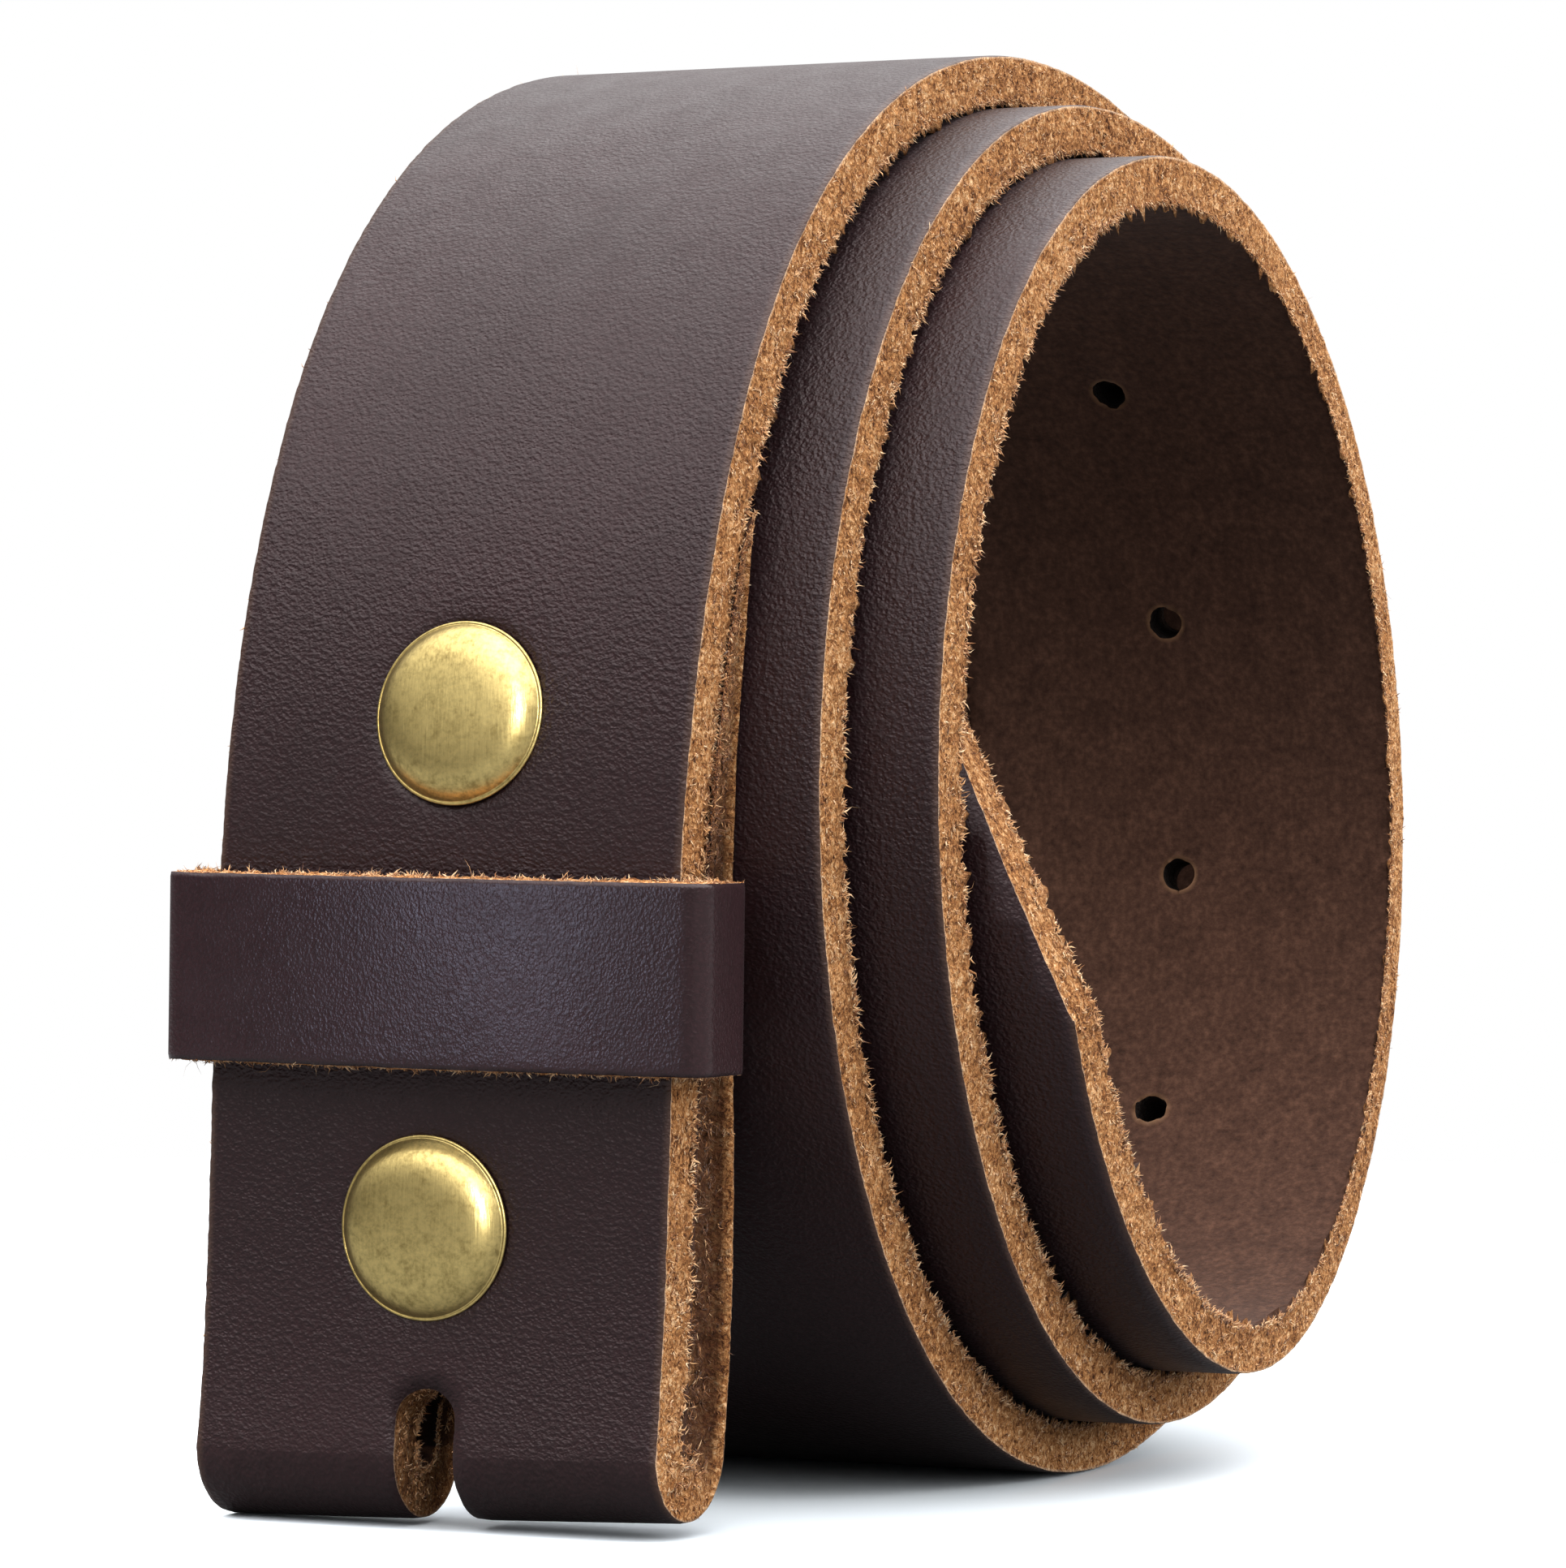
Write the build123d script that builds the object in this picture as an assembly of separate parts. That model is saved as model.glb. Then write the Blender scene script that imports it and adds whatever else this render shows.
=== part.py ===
"""Coiled snap-on leather belt strap: coil, fold-over buckle end, two snaps, keeper loop."""
from math import cos, pi, radians, sin, sqrt
import os

from build123d import *

os.makedirs("parts", exist_ok=True)

# ---------------------------------------------------------------- driving dimensions (mm)
STRAP_WIDTH = 38.1
STRAP_THICK = 3.7
EDGE_FLARE = 0.2          # the cut edge spreads this much towards the flesh side
BODY_SLIT = 0.34          # gap left where the leather bends between two bodies

# where the whole coil sits
SHIFT_X = -9.97
SHIFT_Y = -0.49
SHIFT_Z = 1.0

# coil: grain surface of the strap, one turn per 2*pi, first turn outermost
CENTRE_HEIGHT = 54.56
HALF_DEPTH = 62.10
HALF_DEPTH_STEP = -8.41   # change per turn
FRONT_BIAS = -4.92
FRONT_BIAS_STEP = 2.12
HALF_HEIGHT = 60.61
HALF_HEIGHT_STEP = -4.04
DRIFT_Y = -0.53
SKEW = 0.75
SKEW_STEP = -0.97
RIPPLE_Y = -2.37
RIPPLE_Z = 2.11
SAG = -0.68
SIDE_START = 2.24
SIDE_STEP = 6.89          # each turn stands this far out to the right
SIDE_SWAY = -1.32
TUCK_Y = 1.3              # inner turns lie this much further in at the front
TUCK_X = -0.65

# free end hanging down the front
END_LEAVES_AT = 0.40      # coil angle where the free end leaves the coil, radians
END_BOW = 0.011366
END_CURL = -0.0000826
END_SIDE_BOW = -0.0013575
END_SIDE_CURL = 0.0000121
END_BULGE = 0.5
END_HINGE_AT = 0.80       # coil angle where the free end starts to swing
FOLD_GAP = 3.2            # clear space inside the hairpin fold
FOLD_RADIUS = FOLD_GAP / 2 + STRAP_THICK

# strap tip
TIP_HINGE_AT = 5.68 * pi
TIP_END_AT = 6.22 * pi
TIP_START_HEIGHT = 36.0
TIP_LENGTH = 41.0
TIP_NOSE = 2.4

# adjustment holes, all in the stretch between these two coil angles
HOLES_START_AT = 4.50 * pi
HOLE_DIAMETER = 3.5
HOLE_PITCH = 21.65
HOLE_COUNT = 7
SECOND_HOLE_AT = 4.780 * pi

# flap: (height, clear gap to the front layer, thickness)
FLAP_PROFILE = (
    (5.70, 3.20, 3.70),
    (15.0, 3.20, 3.70),
    (26.0, 3.10, 3.40),
    (37.0, 2.75, 2.70),
    (46.0, 2.60, 1.90),
    (53.0, 2.45, 1.40),
    (60.0, 2.00, 1.30),
    (67.0, 1.50, 1.15),
    (74.6, 0.50, 0.55),
)
FLAP_SIDE = 0.5

# prong slot through the fold
SLOT_WIDTH = 4.9
SLOT_TOP = 10.3

# snaps: (name, height on the free end, sideways offset, depth the cap and the socket press into the leather)
SNAPS = (("upper_snap", 60.0, 0.0, 0.40, 1.45), ("lower_snap", 22.2, -0.75, 0.20, 0.50))
CAP_RADIUS = 6.8
CAP_HEIGHT = 2.2
CAP_RIM = 0.55
POST_RADIUS = 1.7
POST_WALL = 0.45
SOCKET_RADIUS = 5.3
SOCKET_HEIGHT = 2.4
SOCKET_BORE = 3.6
STUD_PLATE_RADIUS = 4.8
STUD_PLATE = 0.5
STUD_RADIUS = 2.0
STUD_HEIGHT = 2.0
EYELET_FLANGE_RADIUS = 4.4
EYELET_FLANGE = 0.4
EYELET_RADIUS = 1.5

# keeper loop
KEEPER_HEIGHT = 41.0
KEEPER_WIDTH = 13.9
KEEPER_THICK = 1.8
KEEPER_SIDE_ROOM = 1.5
KEEPER_FRONT_ROOM = 0.45
KEEPER_BACK_ROOM = 0.35
KEEPER_TILT = 0.6
STAPLE_WIRE = 0.6
STAPLE_SPAN = 7.0


# ---------------------------------------------------------------- strap line
def coil_point(angle):
    """Centre of the grain surface at a coil angle (0 = front, rising over the top)."""
    turn = angle / (2 * pi)
    depth = HALF_DEPTH + HALF_DEPTH_STEP * turn
    bias = FRONT_BIAS + FRONT_BIAS_STEP * turn
    height = HALF_HEIGHT + HALF_HEIGHT_STEP * turn - 0.053 * turn * turn
    tuck = (1 + cos(angle)) / 2 if angle > pi else 0.0
    y = DRIFT_Y * turn - depth * cos(angle) - bias * cos(angle) ** 2
    y += (SKEW + SKEW_STEP * turn) * sin(angle) + RIPPLE_Y * cos(3 * angle) + TUCK_Y * tuck
    z = CENTRE_HEIGHT - 0.10 * turn + height * sin(angle)
    z += SAG * cos(angle) + RIPPLE_Z * sin(3 * angle)
    x = SIDE_START + SIDE_STEP * turn + SIDE_SWAY * sin(angle) + TUCK_X * tuck
    return Vector(x + SHIFT_X, y + SHIFT_Y, z + SHIFT_Z)


def coil_slope(angle):
    step = 1e-4
    return (coil_point(angle + step) - coil_point(angle - step)) / (2 * step)


def inward(slope):
    """Unit vector from the grain surface towards the flesh surface."""
    length = sqrt(slope.Y**2 + slope.Z**2)
    return Vector(0, slope.Z / length, -slope.Y / length)


def end_point(height):
    """Centre of the grain surface of the free end at a height above the floor."""
    start = coil_point(END_LEAVES_AT)
    slope = coil_slope(END_LEAVES_AT)
    drop = start.Z - height
    share = drop / start.Z
    y = start.Y - slope.Y / slope.Z * drop + END_BOW * drop**2 + END_CURL * drop**3
    y -= END_BULGE * 4 * share * (1 - share)
    x = start.X - slope.X / slope.Z * drop + END_SIDE_BOW * drop**2 + END_SIDE_CURL * drop**3
    return Vector(x, y, height)


def end_slope(height):
    return (end_point(height + 0.01) - end_point(height - 0.01)) / 0.02


def angles(first, last, count):
    return [first + (last - first) * i / count for i in range(count + 1)]


# ---------------------------------------------------------------- leather solids
def strip(grain, flesh):
    """Solid strip of full width between a grain line and a flesh line."""
    half = STRAP_WIDTH / 2
    side = Vector(half, 0, 0)
    wide = Vector(half + EDGE_FLARE, 0, 0)
    edges = []
    for line, reach in ((grain, side), (flesh, wide)):
        for sign in (-1, 1):
            edges.append(Edge.make_spline([point + reach * sign for point in line]))
    grain_left, grain_right, flesh_left, flesh_right = edges
    faces = [
        Face.make_surface_from_curves(grain_left, grain_right),
        Face.make_surface_from_curves(flesh_left, flesh_right),
        Face.make_surface_from_curves(grain_left, flesh_left),
        Face.make_surface_from_curves(grain_right, flesh_right),
    ]
    for index in (0, -1):
        corners = [
            grain[index] - side,
            grain[index] + side,
            flesh[index] + wide,
            flesh[index] - wide,
        ]
        faces.append(Face(Wire.make_polygon(corners, close=True)))
    solid = Solid(Shell(faces))
    return solid if solid.volume > 0 else Solid(solid.wrapped.Reversed())


def coil_strip(first, last, count):
    grain = []
    flesh = []
    for angle in angles(first, last, count):
        point = coil_point(angle)
        grain.append(point)
        flesh.append(point + inward(coil_slope(angle)) * STRAP_THICK)
    return strip(grain, flesh)


boxes = []


def save(node, shape):
    shape.label = node
    boxes.append(shape.bounding_box())
    export_step(shape, f"parts/{node}.step")


slit_angle = BODY_SLIT / coil_slope(END_HINGE_AT).length
tip_slit_angle = BODY_SLIT / coil_slope(TIP_HINGE_AT).length

# coil: the plain turns, then the stretch with the adjustment holes
coiled_strap = coil_strip(END_HINGE_AT, HOLES_START_AT, 120)
strap_hole_section = coil_strip(HOLES_START_AT, TIP_HINGE_AT, 36)


def flesh_point(angle):
    return coil_point(angle) + inward(coil_slope(angle)) * STRAP_THICK


def walk(angle, distance):
    """Coil angle reached after walking a distance along the flesh surface."""
    direction = 1 if distance > 0 else -1
    left = abs(distance)
    while left > 0:
        angle += direction * 0.002
        left -= (flesh_point(angle) - flesh_point(angle - direction * 0.002)).length
    return angle


for index in range(HOLE_COUNT):
    hole_angle = walk(SECOND_HOLE_AT, (index - 1) * HOLE_PITCH)
    centre = coil_point(hole_angle)
    axis = inward(coil_slope(hole_angle))
    bore_plane = Plane(origin=centre - axis * 0.8, z_dir=axis)
    strap_hole_section -= bore_plane * Cylinder(
        HOLE_DIAMETER / 2, STRAP_THICK + 1.6, align=(Align.CENTER, Align.CENTER, Align.MIN)
    )
    print(f"hole {index + 1}: angle {hole_angle:.4f} centre {centre + axis * STRAP_THICK / 2} axis {axis}")

# pointed tip at the inner end of the coil
tip_blank = coil_strip(TIP_HINGE_AT + tip_slit_angle, TIP_END_AT, 22)
tip_centre = coil_point(6 * pi).X
tip_top = TIP_START_HEIGHT + TIP_LENGTH
half_width = STRAP_WIDTH / 2 + 2 * EDGE_FLARE
with BuildPart() as tip_outline:
    with BuildSketch(Plane.XZ.offset(20)):
        with BuildLine():
            Polyline(
                (tip_centre - half_width, TIP_START_HEIGHT),
                (tip_centre - half_width, -5),
                (tip_centre + half_width, -5),
                (tip_centre + half_width, TIP_START_HEIGHT),
            )
            for side_sign in (-1, 1):
                ThreePointArc(
                    (tip_centre + side_sign * half_width, TIP_START_HEIGHT),
                    (tip_centre + side_sign * 11.4, TIP_START_HEIGHT + 21.0),
                    (tip_centre + side_sign * TIP_NOSE, tip_top - 1.6),
                )
            ThreePointArc(
                (tip_centre - TIP_NOSE, tip_top - 1.6),
                (tip_centre, tip_top),
                (tip_centre + TIP_NOSE, tip_top - 1.6),
            )
        make_face()
    extrude(amount=40)
strap_tip = tip_blank & tip_outline.part

# front layer of the free end with the hairpin fold at its foot
grain_line = []
flesh_line = []
for angle in angles(END_HINGE_AT - slit_angle, END_LEAVES_AT, 5):
    point = coil_point(angle)
    grain_line.append(point)
    flesh_line.append(point + inward(coil_slope(angle)) * STRAP_THICK)
leave_height = coil_point(END_LEAVES_AT).Z
for height in angles(leave_height, FOLD_RADIUS, 14)[1:]:
    point = end_point(height)
    grain_line.append(point)
    flesh_line.append(point + inward(end_slope(height)) * STRAP_THICK)
fold_front = end_point(FOLD_RADIUS)
fold_centre = Vector(fold_front.X, fold_front.Y + FOLD_RADIUS, FOLD_RADIUS)
for turn_degrees in range(15, 181, 15):
    spoke = Vector(0, -cos(radians(turn_degrees)), -sin(radians(turn_degrees)))
    drift = Vector(FLAP_SIDE * turn_degrees / 180, 0, 0)
    grain_line.append(fold_centre + drift + spoke * FOLD_RADIUS)
    flesh_line.append(fold_centre + drift + spoke * (FOLD_GAP / 2))
buckle_end = strip(grain_line, flesh_line)

# flap: back layer, thinned towards its free edge
flap_grain = []
flap_flesh = []
for height, gap, thick in FLAP_PROFILE:
    point = end_point(height) + Vector(FLAP_SIDE, STRAP_THICK + gap, 0)
    flap_flesh.append(point)
    flap_grain.append(point + Vector(0, thick, 0))
flap = strip(flap_grain, flap_flesh)

# prong slot: straight sides, round top, through both layers
slot_centre = end_point(SLOT_TOP).X
with BuildPart() as slot:
    with BuildSketch(Plane.XZ.offset(80)):
        with Locations((slot_centre, (SLOT_TOP - SLOT_WIDTH / 2 - 2) / 2)):
            Rectangle(SLOT_WIDTH, SLOT_TOP - SLOT_WIDTH / 2 + 2)
        with Locations((slot_centre, SLOT_TOP - SLOT_WIDTH / 2)):
            Circle(SLOT_WIDTH / 2)
    extrude(amount=-60)
buckle_end -= slot.part
flap -= slot.part


# ---------------------------------------------------------------- snaps
def flap_at(height):
    """Gap and thickness of the flap at a height, between the profile stations."""
    for low, high in zip(FLAP_PROFILE, FLAP_PROFILE[1:]):
        if low[0] <= height <= high[0]:
            share = (height - low[0]) / (high[0] - low[0])
            return [low[i] + share * (high[i] - low[i]) for i in (1, 2)]
    raise ValueError("height is off the flap")


def ring(outer, inner, low, high):
    """Flat ring about the snap axis between two levels."""
    body = Pos(0, 0, low) * Cylinder(outer, high - low, align=(Align.CENTER, Align.CENTER, Align.MIN))
    if inner > 0:
        body -= Pos(0, 0, low - 1) * Cylinder(
            inner, high - low + 2, align=(Align.CENTER, Align.CENTER, Align.MIN)
        )
    return body


def cap_shape(socket_top):
    """Low dome with a rolled rim and a hollow post reaching the socket."""
    foot = CAP_RADIUS - 1.15
    rise = CAP_HEIGHT - 1.8 * CAP_RIM
    ball = (foot**2 + rise**2) / (2 * rise)
    middle = CAP_HEIGHT - ball + sqrt(ball**2 - foot**2 / 4)
    with BuildPart() as cap:
        with BuildSketch(Plane.XZ):
            with BuildLine():
                Polyline(
                    (0, CAP_HEIGHT),
                    (0, 0.4),
                    (POST_RADIUS - POST_WALL, 0.4),
                    (POST_RADIUS - POST_WALL, socket_top),
                    (POST_RADIUS, socket_top),
                    (POST_RADIUS, 0),
                    (CAP_RADIUS - 0.2, 0),
                )
                ThreePointArc(
                    (CAP_RADIUS - 0.2, 0),
                    (CAP_RADIUS, CAP_RIM),
                    (CAP_RADIUS - 0.75, 2 * CAP_RIM),
                )
                Line((CAP_RADIUS - 0.75, 2 * CAP_RIM), (foot, 1.8 * CAP_RIM))
                ThreePointArc((foot, 1.8 * CAP_RIM), (foot / 2, middle), (0, CAP_HEIGHT))
            make_face()
        revolve(axis=Axis.Z)
    return cap.part


def socket_shape(top):
    """Cup with a wide mouth, a groove for the spring and a hole for the post."""
    body = ring(SOCKET_RADIUS, SOCKET_BORE, top - SOCKET_HEIGHT, top)
    floor = ring(SOCKET_BORE + 0.1, POST_RADIUS - POST_WALL, top - 0.4, top)
    groove = ring(SOCKET_BORE + 0.55, 0, top - 1.75, top - 1.15)
    return body - groove + floor


def spring_shape(top):
    """Split wire ring lying in the socket groove."""
    wire = ring(SOCKET_BORE + 0.45, SOCKET_BORE - 0.35, top - 1.70, top - 1.20)
    return wire - Pos(SOCKET_BORE, 0, top - 1.45) * Box(3, 1.2, 2)


def stud_shape(face):
    """Plate with a waisted boss standing towards the socket."""
    with BuildPart() as boss:
        with BuildSketch(Plane.XZ):
            with BuildLine():
                Polyline((0, face), (STUD_PLATE_RADIUS, face), (STUD_PLATE_RADIUS, face + STUD_PLATE))
                Polyline(
                    (STUD_PLATE_RADIUS, face + STUD_PLATE),
                    (STUD_RADIUS - 0.25, face + STUD_PLATE),
                    (STUD_RADIUS - 0.25, face + STUD_PLATE + 0.6),
                    (STUD_RADIUS, face + STUD_PLATE + 1.1),
                    (STUD_RADIUS - 0.3, face + STUD_PLATE + STUD_HEIGHT - 0.2),
                    (STUD_RADIUS - 0.8, face + STUD_PLATE + STUD_HEIGHT),
                    (0, face + STUD_PLATE + STUD_HEIGHT),
                    (0, face),
                )
            make_face()
        revolve(axis=Axis.Z)
    return boss.part


def eyelet_shape(face, back):
    """Tube riveted through the flap, with a flange sunk into its outer side."""
    return ring(EYELET_FLANGE_RADIUS, EYELET_RADIUS - 0.45, back, back + EYELET_FLANGE) + ring(
        EYELET_RADIUS, EYELET_RADIUS - 0.45, back, face
    )


for name, height, offset, press, bed in SNAPS:
    normal = inward(end_slope(height)) * -1
    snap_plane = Plane(origin=end_point(height) + Vector(offset, 0, 0), x_dir=(1, 0, 0), z_dir=normal)
    gap, thick = flap_at(height)
    socket_top = -(STRAP_THICK - bed)
    stud_face = -(STRAP_THICK + gap)
    eyelet_back = stud_face - thick
    save(f"{name}_cap", snap_plane * Pos(0, 0, -press) * cap_shape(socket_top + press))
    save(f"{name}_socket", snap_plane * socket_shape(socket_top))
    save(f"{name}_spring", snap_plane * spring_shape(socket_top))
    save(f"{name}_stud", snap_plane * stud_shape(stud_face))
    save(f"{name}_eyelet", snap_plane * eyelet_shape(stud_face, eyelet_back))
    buckle_end -= snap_plane * ring(POST_RADIUS, 0, -STRAP_THICK - 1, 1)
    buckle_end -= snap_plane * ring(SOCKET_RADIUS, 0, socket_top - SOCKET_HEIGHT, socket_top)
    buckle_end -= snap_plane * ring(CAP_RADIUS, 0, -press, 1)
    flap -= snap_plane * ring(EYELET_RADIUS, 0, eyelet_back - 1, stud_face + 1)
    flap -= snap_plane * ring(EYELET_FLANGE_RADIUS, 0, eyelet_back - 1, eyelet_back + EYELET_FLANGE)
    flap -= snap_plane * ring(STUD_PLATE_RADIUS, 0, stud_face, stud_face + 1.5)
    print(f"{name}: origin {snap_plane.origin} axis {normal}")

# ---------------------------------------------------------------- keeper loop
keeper_point = end_point(KEEPER_HEIGHT)
inner_width = STRAP_WIDTH + 2 * EDGE_FLARE + 2 * KEEPER_SIDE_ROOM
inner_depth = STRAP_THICK + KEEPER_FRONT_ROOM + KEEPER_BACK_ROOM
keeper_origin = keeper_point + Vector(0, (STRAP_THICK + KEEPER_BACK_ROOM - KEEPER_FRONT_ROOM) / 2, 0)
keeper_plane = Plane(origin=keeper_origin, x_dir=(1, 0, 0), z_dir=(0, 0, 1))
with BuildPart() as keeper:
    with BuildSketch():
        RectangleRounded(inner_width + 2 * KEEPER_THICK, inner_depth + 2 * KEEPER_THICK, 2.4)
        RectangleRounded(inner_width, inner_depth, 0.9, mode=Mode.SUBTRACT)
    extrude(amount=KEEPER_WIDTH / 2, both=True)
keeper_loop = keeper.part

# butt joint in the middle of the back strip, closed by a flush wire staple
back_inner = inner_depth / 2
back_outer = back_inner + KEEPER_THICK
keeper_loop -= Pos(0, back_inner + KEEPER_THICK / 2, 0) * Box(0.15, KEEPER_THICK + 1, KEEPER_WIDTH + 1)
crown = Pos(0, back_outer - STAPLE_WIRE / 2, 0) * Box(STAPLE_SPAN, STAPLE_WIRE, STAPLE_WIRE)
staple = crown
for side_sign in (-1, 1):
    leg_x = side_sign * (STAPLE_SPAN - STAPLE_WIRE) / 2
    staple += Pos(leg_x, back_inner + KEEPER_THICK / 2, 0) * Box(STAPLE_WIRE, KEEPER_THICK, STAPLE_WIRE)
    clinch_x = side_sign * (STAPLE_SPAN / 2 - 1.1)
    staple += Pos(clinch_x, back_inner + STAPLE_WIRE / 2, 0) * Box(2.2, STAPLE_WIRE, STAPLE_WIRE)
keeper_loop -= staple
keeper_place = keeper_plane * Rot(0, KEEPER_TILT, 0)
save("keeper_loop", keeper_place * keeper_loop)
save("keeper_staple", keeper_place * staple)

save("coiled_strap", coiled_strap)
save("strap_hole_section", strap_hole_section)
save("strap_tip", strap_tip)
save("buckle_end", buckle_end)
save("folded_flap", flap)

# ---------------------------------------------------------------- joint places
print("slot centre", round(slot_centre, 3), "front", round(fold_front.Y, 3))
print("end hinge", coil_point(END_HINGE_AT - slit_angle / 2))
tip_hinge = coil_point(TIP_HINGE_AT + tip_slit_angle / 2)
print("tip hinge", tip_hinge + inward(coil_slope(TIP_HINGE_AT)) * STRAP_THICK)
print("flap hinge", (flap_grain[0] + grain_line[-1]) / 2)
print("keeper", keeper_origin, "slide", end_slope(KEEPER_HEIGHT).normalized())
low = [min(getattr(box.min, axis) for box in boxes) for axis in "XYZ"]
high = [max(getattr(box.max, axis) for box in boxes) for axis in "XYZ"]
print("overall", low, high)
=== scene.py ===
"""Looks of the coiled leather belt strap: strap leather, keeper, brass caps and studio.

Lengths are in millimetres until a mesh is made. A place on a strip is (s, u, depth): distance along it,
distance across from its middle, and share of its thickness, from grain (0) to flesh (1).
"""

from math import cos, pi, radians, sin

import bpy
import numpy as np
from mathutils import Matrix, Vector
from mathutils.geometry import delaunay_2d_cdt


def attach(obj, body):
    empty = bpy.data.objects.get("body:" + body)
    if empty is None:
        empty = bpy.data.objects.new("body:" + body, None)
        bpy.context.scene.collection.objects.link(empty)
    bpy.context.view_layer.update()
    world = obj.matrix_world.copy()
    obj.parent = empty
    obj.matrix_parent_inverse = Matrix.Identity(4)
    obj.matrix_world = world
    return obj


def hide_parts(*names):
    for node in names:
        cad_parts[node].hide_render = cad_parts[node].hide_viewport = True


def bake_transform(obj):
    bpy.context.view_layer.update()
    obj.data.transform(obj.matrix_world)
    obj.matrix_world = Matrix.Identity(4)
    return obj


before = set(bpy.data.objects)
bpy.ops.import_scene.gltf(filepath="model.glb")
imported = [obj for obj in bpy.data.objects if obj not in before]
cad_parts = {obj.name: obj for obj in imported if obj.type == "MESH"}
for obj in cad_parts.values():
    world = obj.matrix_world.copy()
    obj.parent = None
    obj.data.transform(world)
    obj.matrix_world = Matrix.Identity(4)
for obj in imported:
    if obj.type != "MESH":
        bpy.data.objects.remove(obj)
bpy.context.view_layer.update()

MM = 0.001

# ---------------- strap line, in millimetres
STRAP_WIDTH = 38.1
HALF = STRAP_WIDTH / 2
STRAP_THICK = 3.7
EDGE_FLARE = 0.2                        # the flesh is this much wider than the grain, on each side
ACROSS = np.array([1.0, 0.0, 0.0])
SHIFT = np.array([-9.97, -0.49, 1.0])   # from the coil as measured to the record's frame
END_LEAVES_AT = 0.40                    # coil angle where the buckle end hangs away from the coil
END_BOW = 0.5                           # how far its middle stands forward
FOLD_GAP = 3.2
FOLD_RADIUS = FOLD_GAP / 2 + STRAP_THICK
FLAP_SIDE = 0.5                         # the flap stands this far to the right of the front layer
FLAP_TOP = 74.6
FLAP_PROFILE = np.array([               # height, gap to the front layer, thickness
    (5.30, 3.20, 3.70), (15.0, 3.20, 3.70), (26.0, 3.10, 3.40), (37.0, 2.75, 2.70), (46.0, 2.60, 1.90),
    (53.0, 2.45, 1.40), (60.0, 2.00, 1.30), (67.0, 1.50, 1.15), (FLAP_TOP, 0.50, 0.55),
])
GAP, THICKNESS = 1, 2                   # columns of the profile
TIP_END_AT = 6.22 * pi
SLOT_CENTRE = -10.135
SLOT_WIDTH = 4.9
SLOT_TOP = 10.3
# painted shade on the slot's walls: lighter on the front layer and in the fold, darker on the flap above the
# fold
SLOT_SHADE, SLOT_SHADE_INSIDE = 0.36, 0.95
FOLD_LIFT = 1.1                         # how far the foot's right corner stands up
FOLD_LIFT_HEIGHT = 24.0
HOLE_ANGLES = (14.4608, 15.0168, 15.4648, 15.8788, 16.3188, 16.8888, 17.6388)
HOLE_RADIUS = 1.42
END_HINGE_AT, TIP_HINGE_AT = 0.80, 5.68 * pi
SNAPS = (("upper", 60.0, 0.0, 0.40), ("lower", 22.2, -0.75, 0.20))   # name, height, offset, pressed in


def coil_point(angle):
    """Centre of the grain surface at coil angles (0 = front, rising over the top).

    An oval that shrinks and steps to the right with each turn, squared off by its third harmonic. The
    inner turns are tucked in at the front. Its terms are those of the CAD solids.
    """
    turn = angle / (2 * pi)
    depth = 62.10 - 8.41 * turn
    bias = -4.92 + 2.12 * turn
    height = 60.61 - 4.04 * turn - 0.053 * turn**2
    tuck = np.where(angle > pi, (1 + np.cos(angle)) / 2, 0.0)
    y = -0.53 * turn - depth * np.cos(angle) - bias * np.cos(angle) ** 2
    y = y + (0.75 - 0.97 * turn) * np.sin(angle) - 2.37 * np.cos(3 * angle) + 1.3 * tuck
    z = 54.56 - 0.10 * turn + height * np.sin(angle) - 0.68 * np.cos(angle) + 2.11 * np.sin(3 * angle)
    x = 2.24 + 6.89 * turn - 1.32 * np.sin(angle) - 0.65 * tuck
    return np.stack([x, y, z], -1) + SHIFT


def coil_slope(angle):
    return (coil_point(angle + 1e-4) - coil_point(angle - 1e-4)) / 2e-4


def inward(slope):
    """Unit vectors from the grain surface towards the flesh surface."""
    length = np.hypot(slope[:, 1], slope[:, 2])
    return np.stack([0 * length, slope[:, 2] / length, -slope[:, 1] / length], -1)


def end_point(height):
    """Centre of the grain surface of the buckle end at heights above the floor.

    It leaves the coil straight down its slope and curves away from that line as the CAD solid does.
    """
    at = np.array([END_LEAVES_AT])
    start = coil_point(at)[0]
    slope = coil_slope(at)[0]
    drop = start[2] - height
    share = drop / start[2]
    y = start[1] - slope[1] / slope[2] * drop + 0.011366 * drop**2 - 0.0000826 * drop**3
    y = y - END_BOW * 4 * share * (1 - share)
    x = start[0] - slope[0] / slope[2] * drop - 0.0013575 * drop**2 + 0.0000121 * drop**3
    return np.stack([x, y, height + 0 * x], -1)


def end_at(height):
    """One point of the buckle end's grain, and its direction into the leather there."""
    heights = np.array([height])
    return end_point(heights)[0], inward(end_slope(heights))[0]


def end_slope(height):
    return (end_point(height + 0.01) - end_point(height - 0.01)) / 0.02


def flap_profile(height, column):
    """Gap or thickness of the flap, rounded off between its stations."""
    near = [height + step for step in np.linspace(-3, 3, 13)]
    return np.mean([np.interp(h, FLAP_PROFILE[:, 0], FLAP_PROFILE[:, column]) for h in near], 0)


def distances(points):
    """How far each point is along a line of points."""
    return np.concatenate([[0], np.cumsum(np.linalg.norm(np.diff(points, axis=0), axis=1))])


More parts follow.
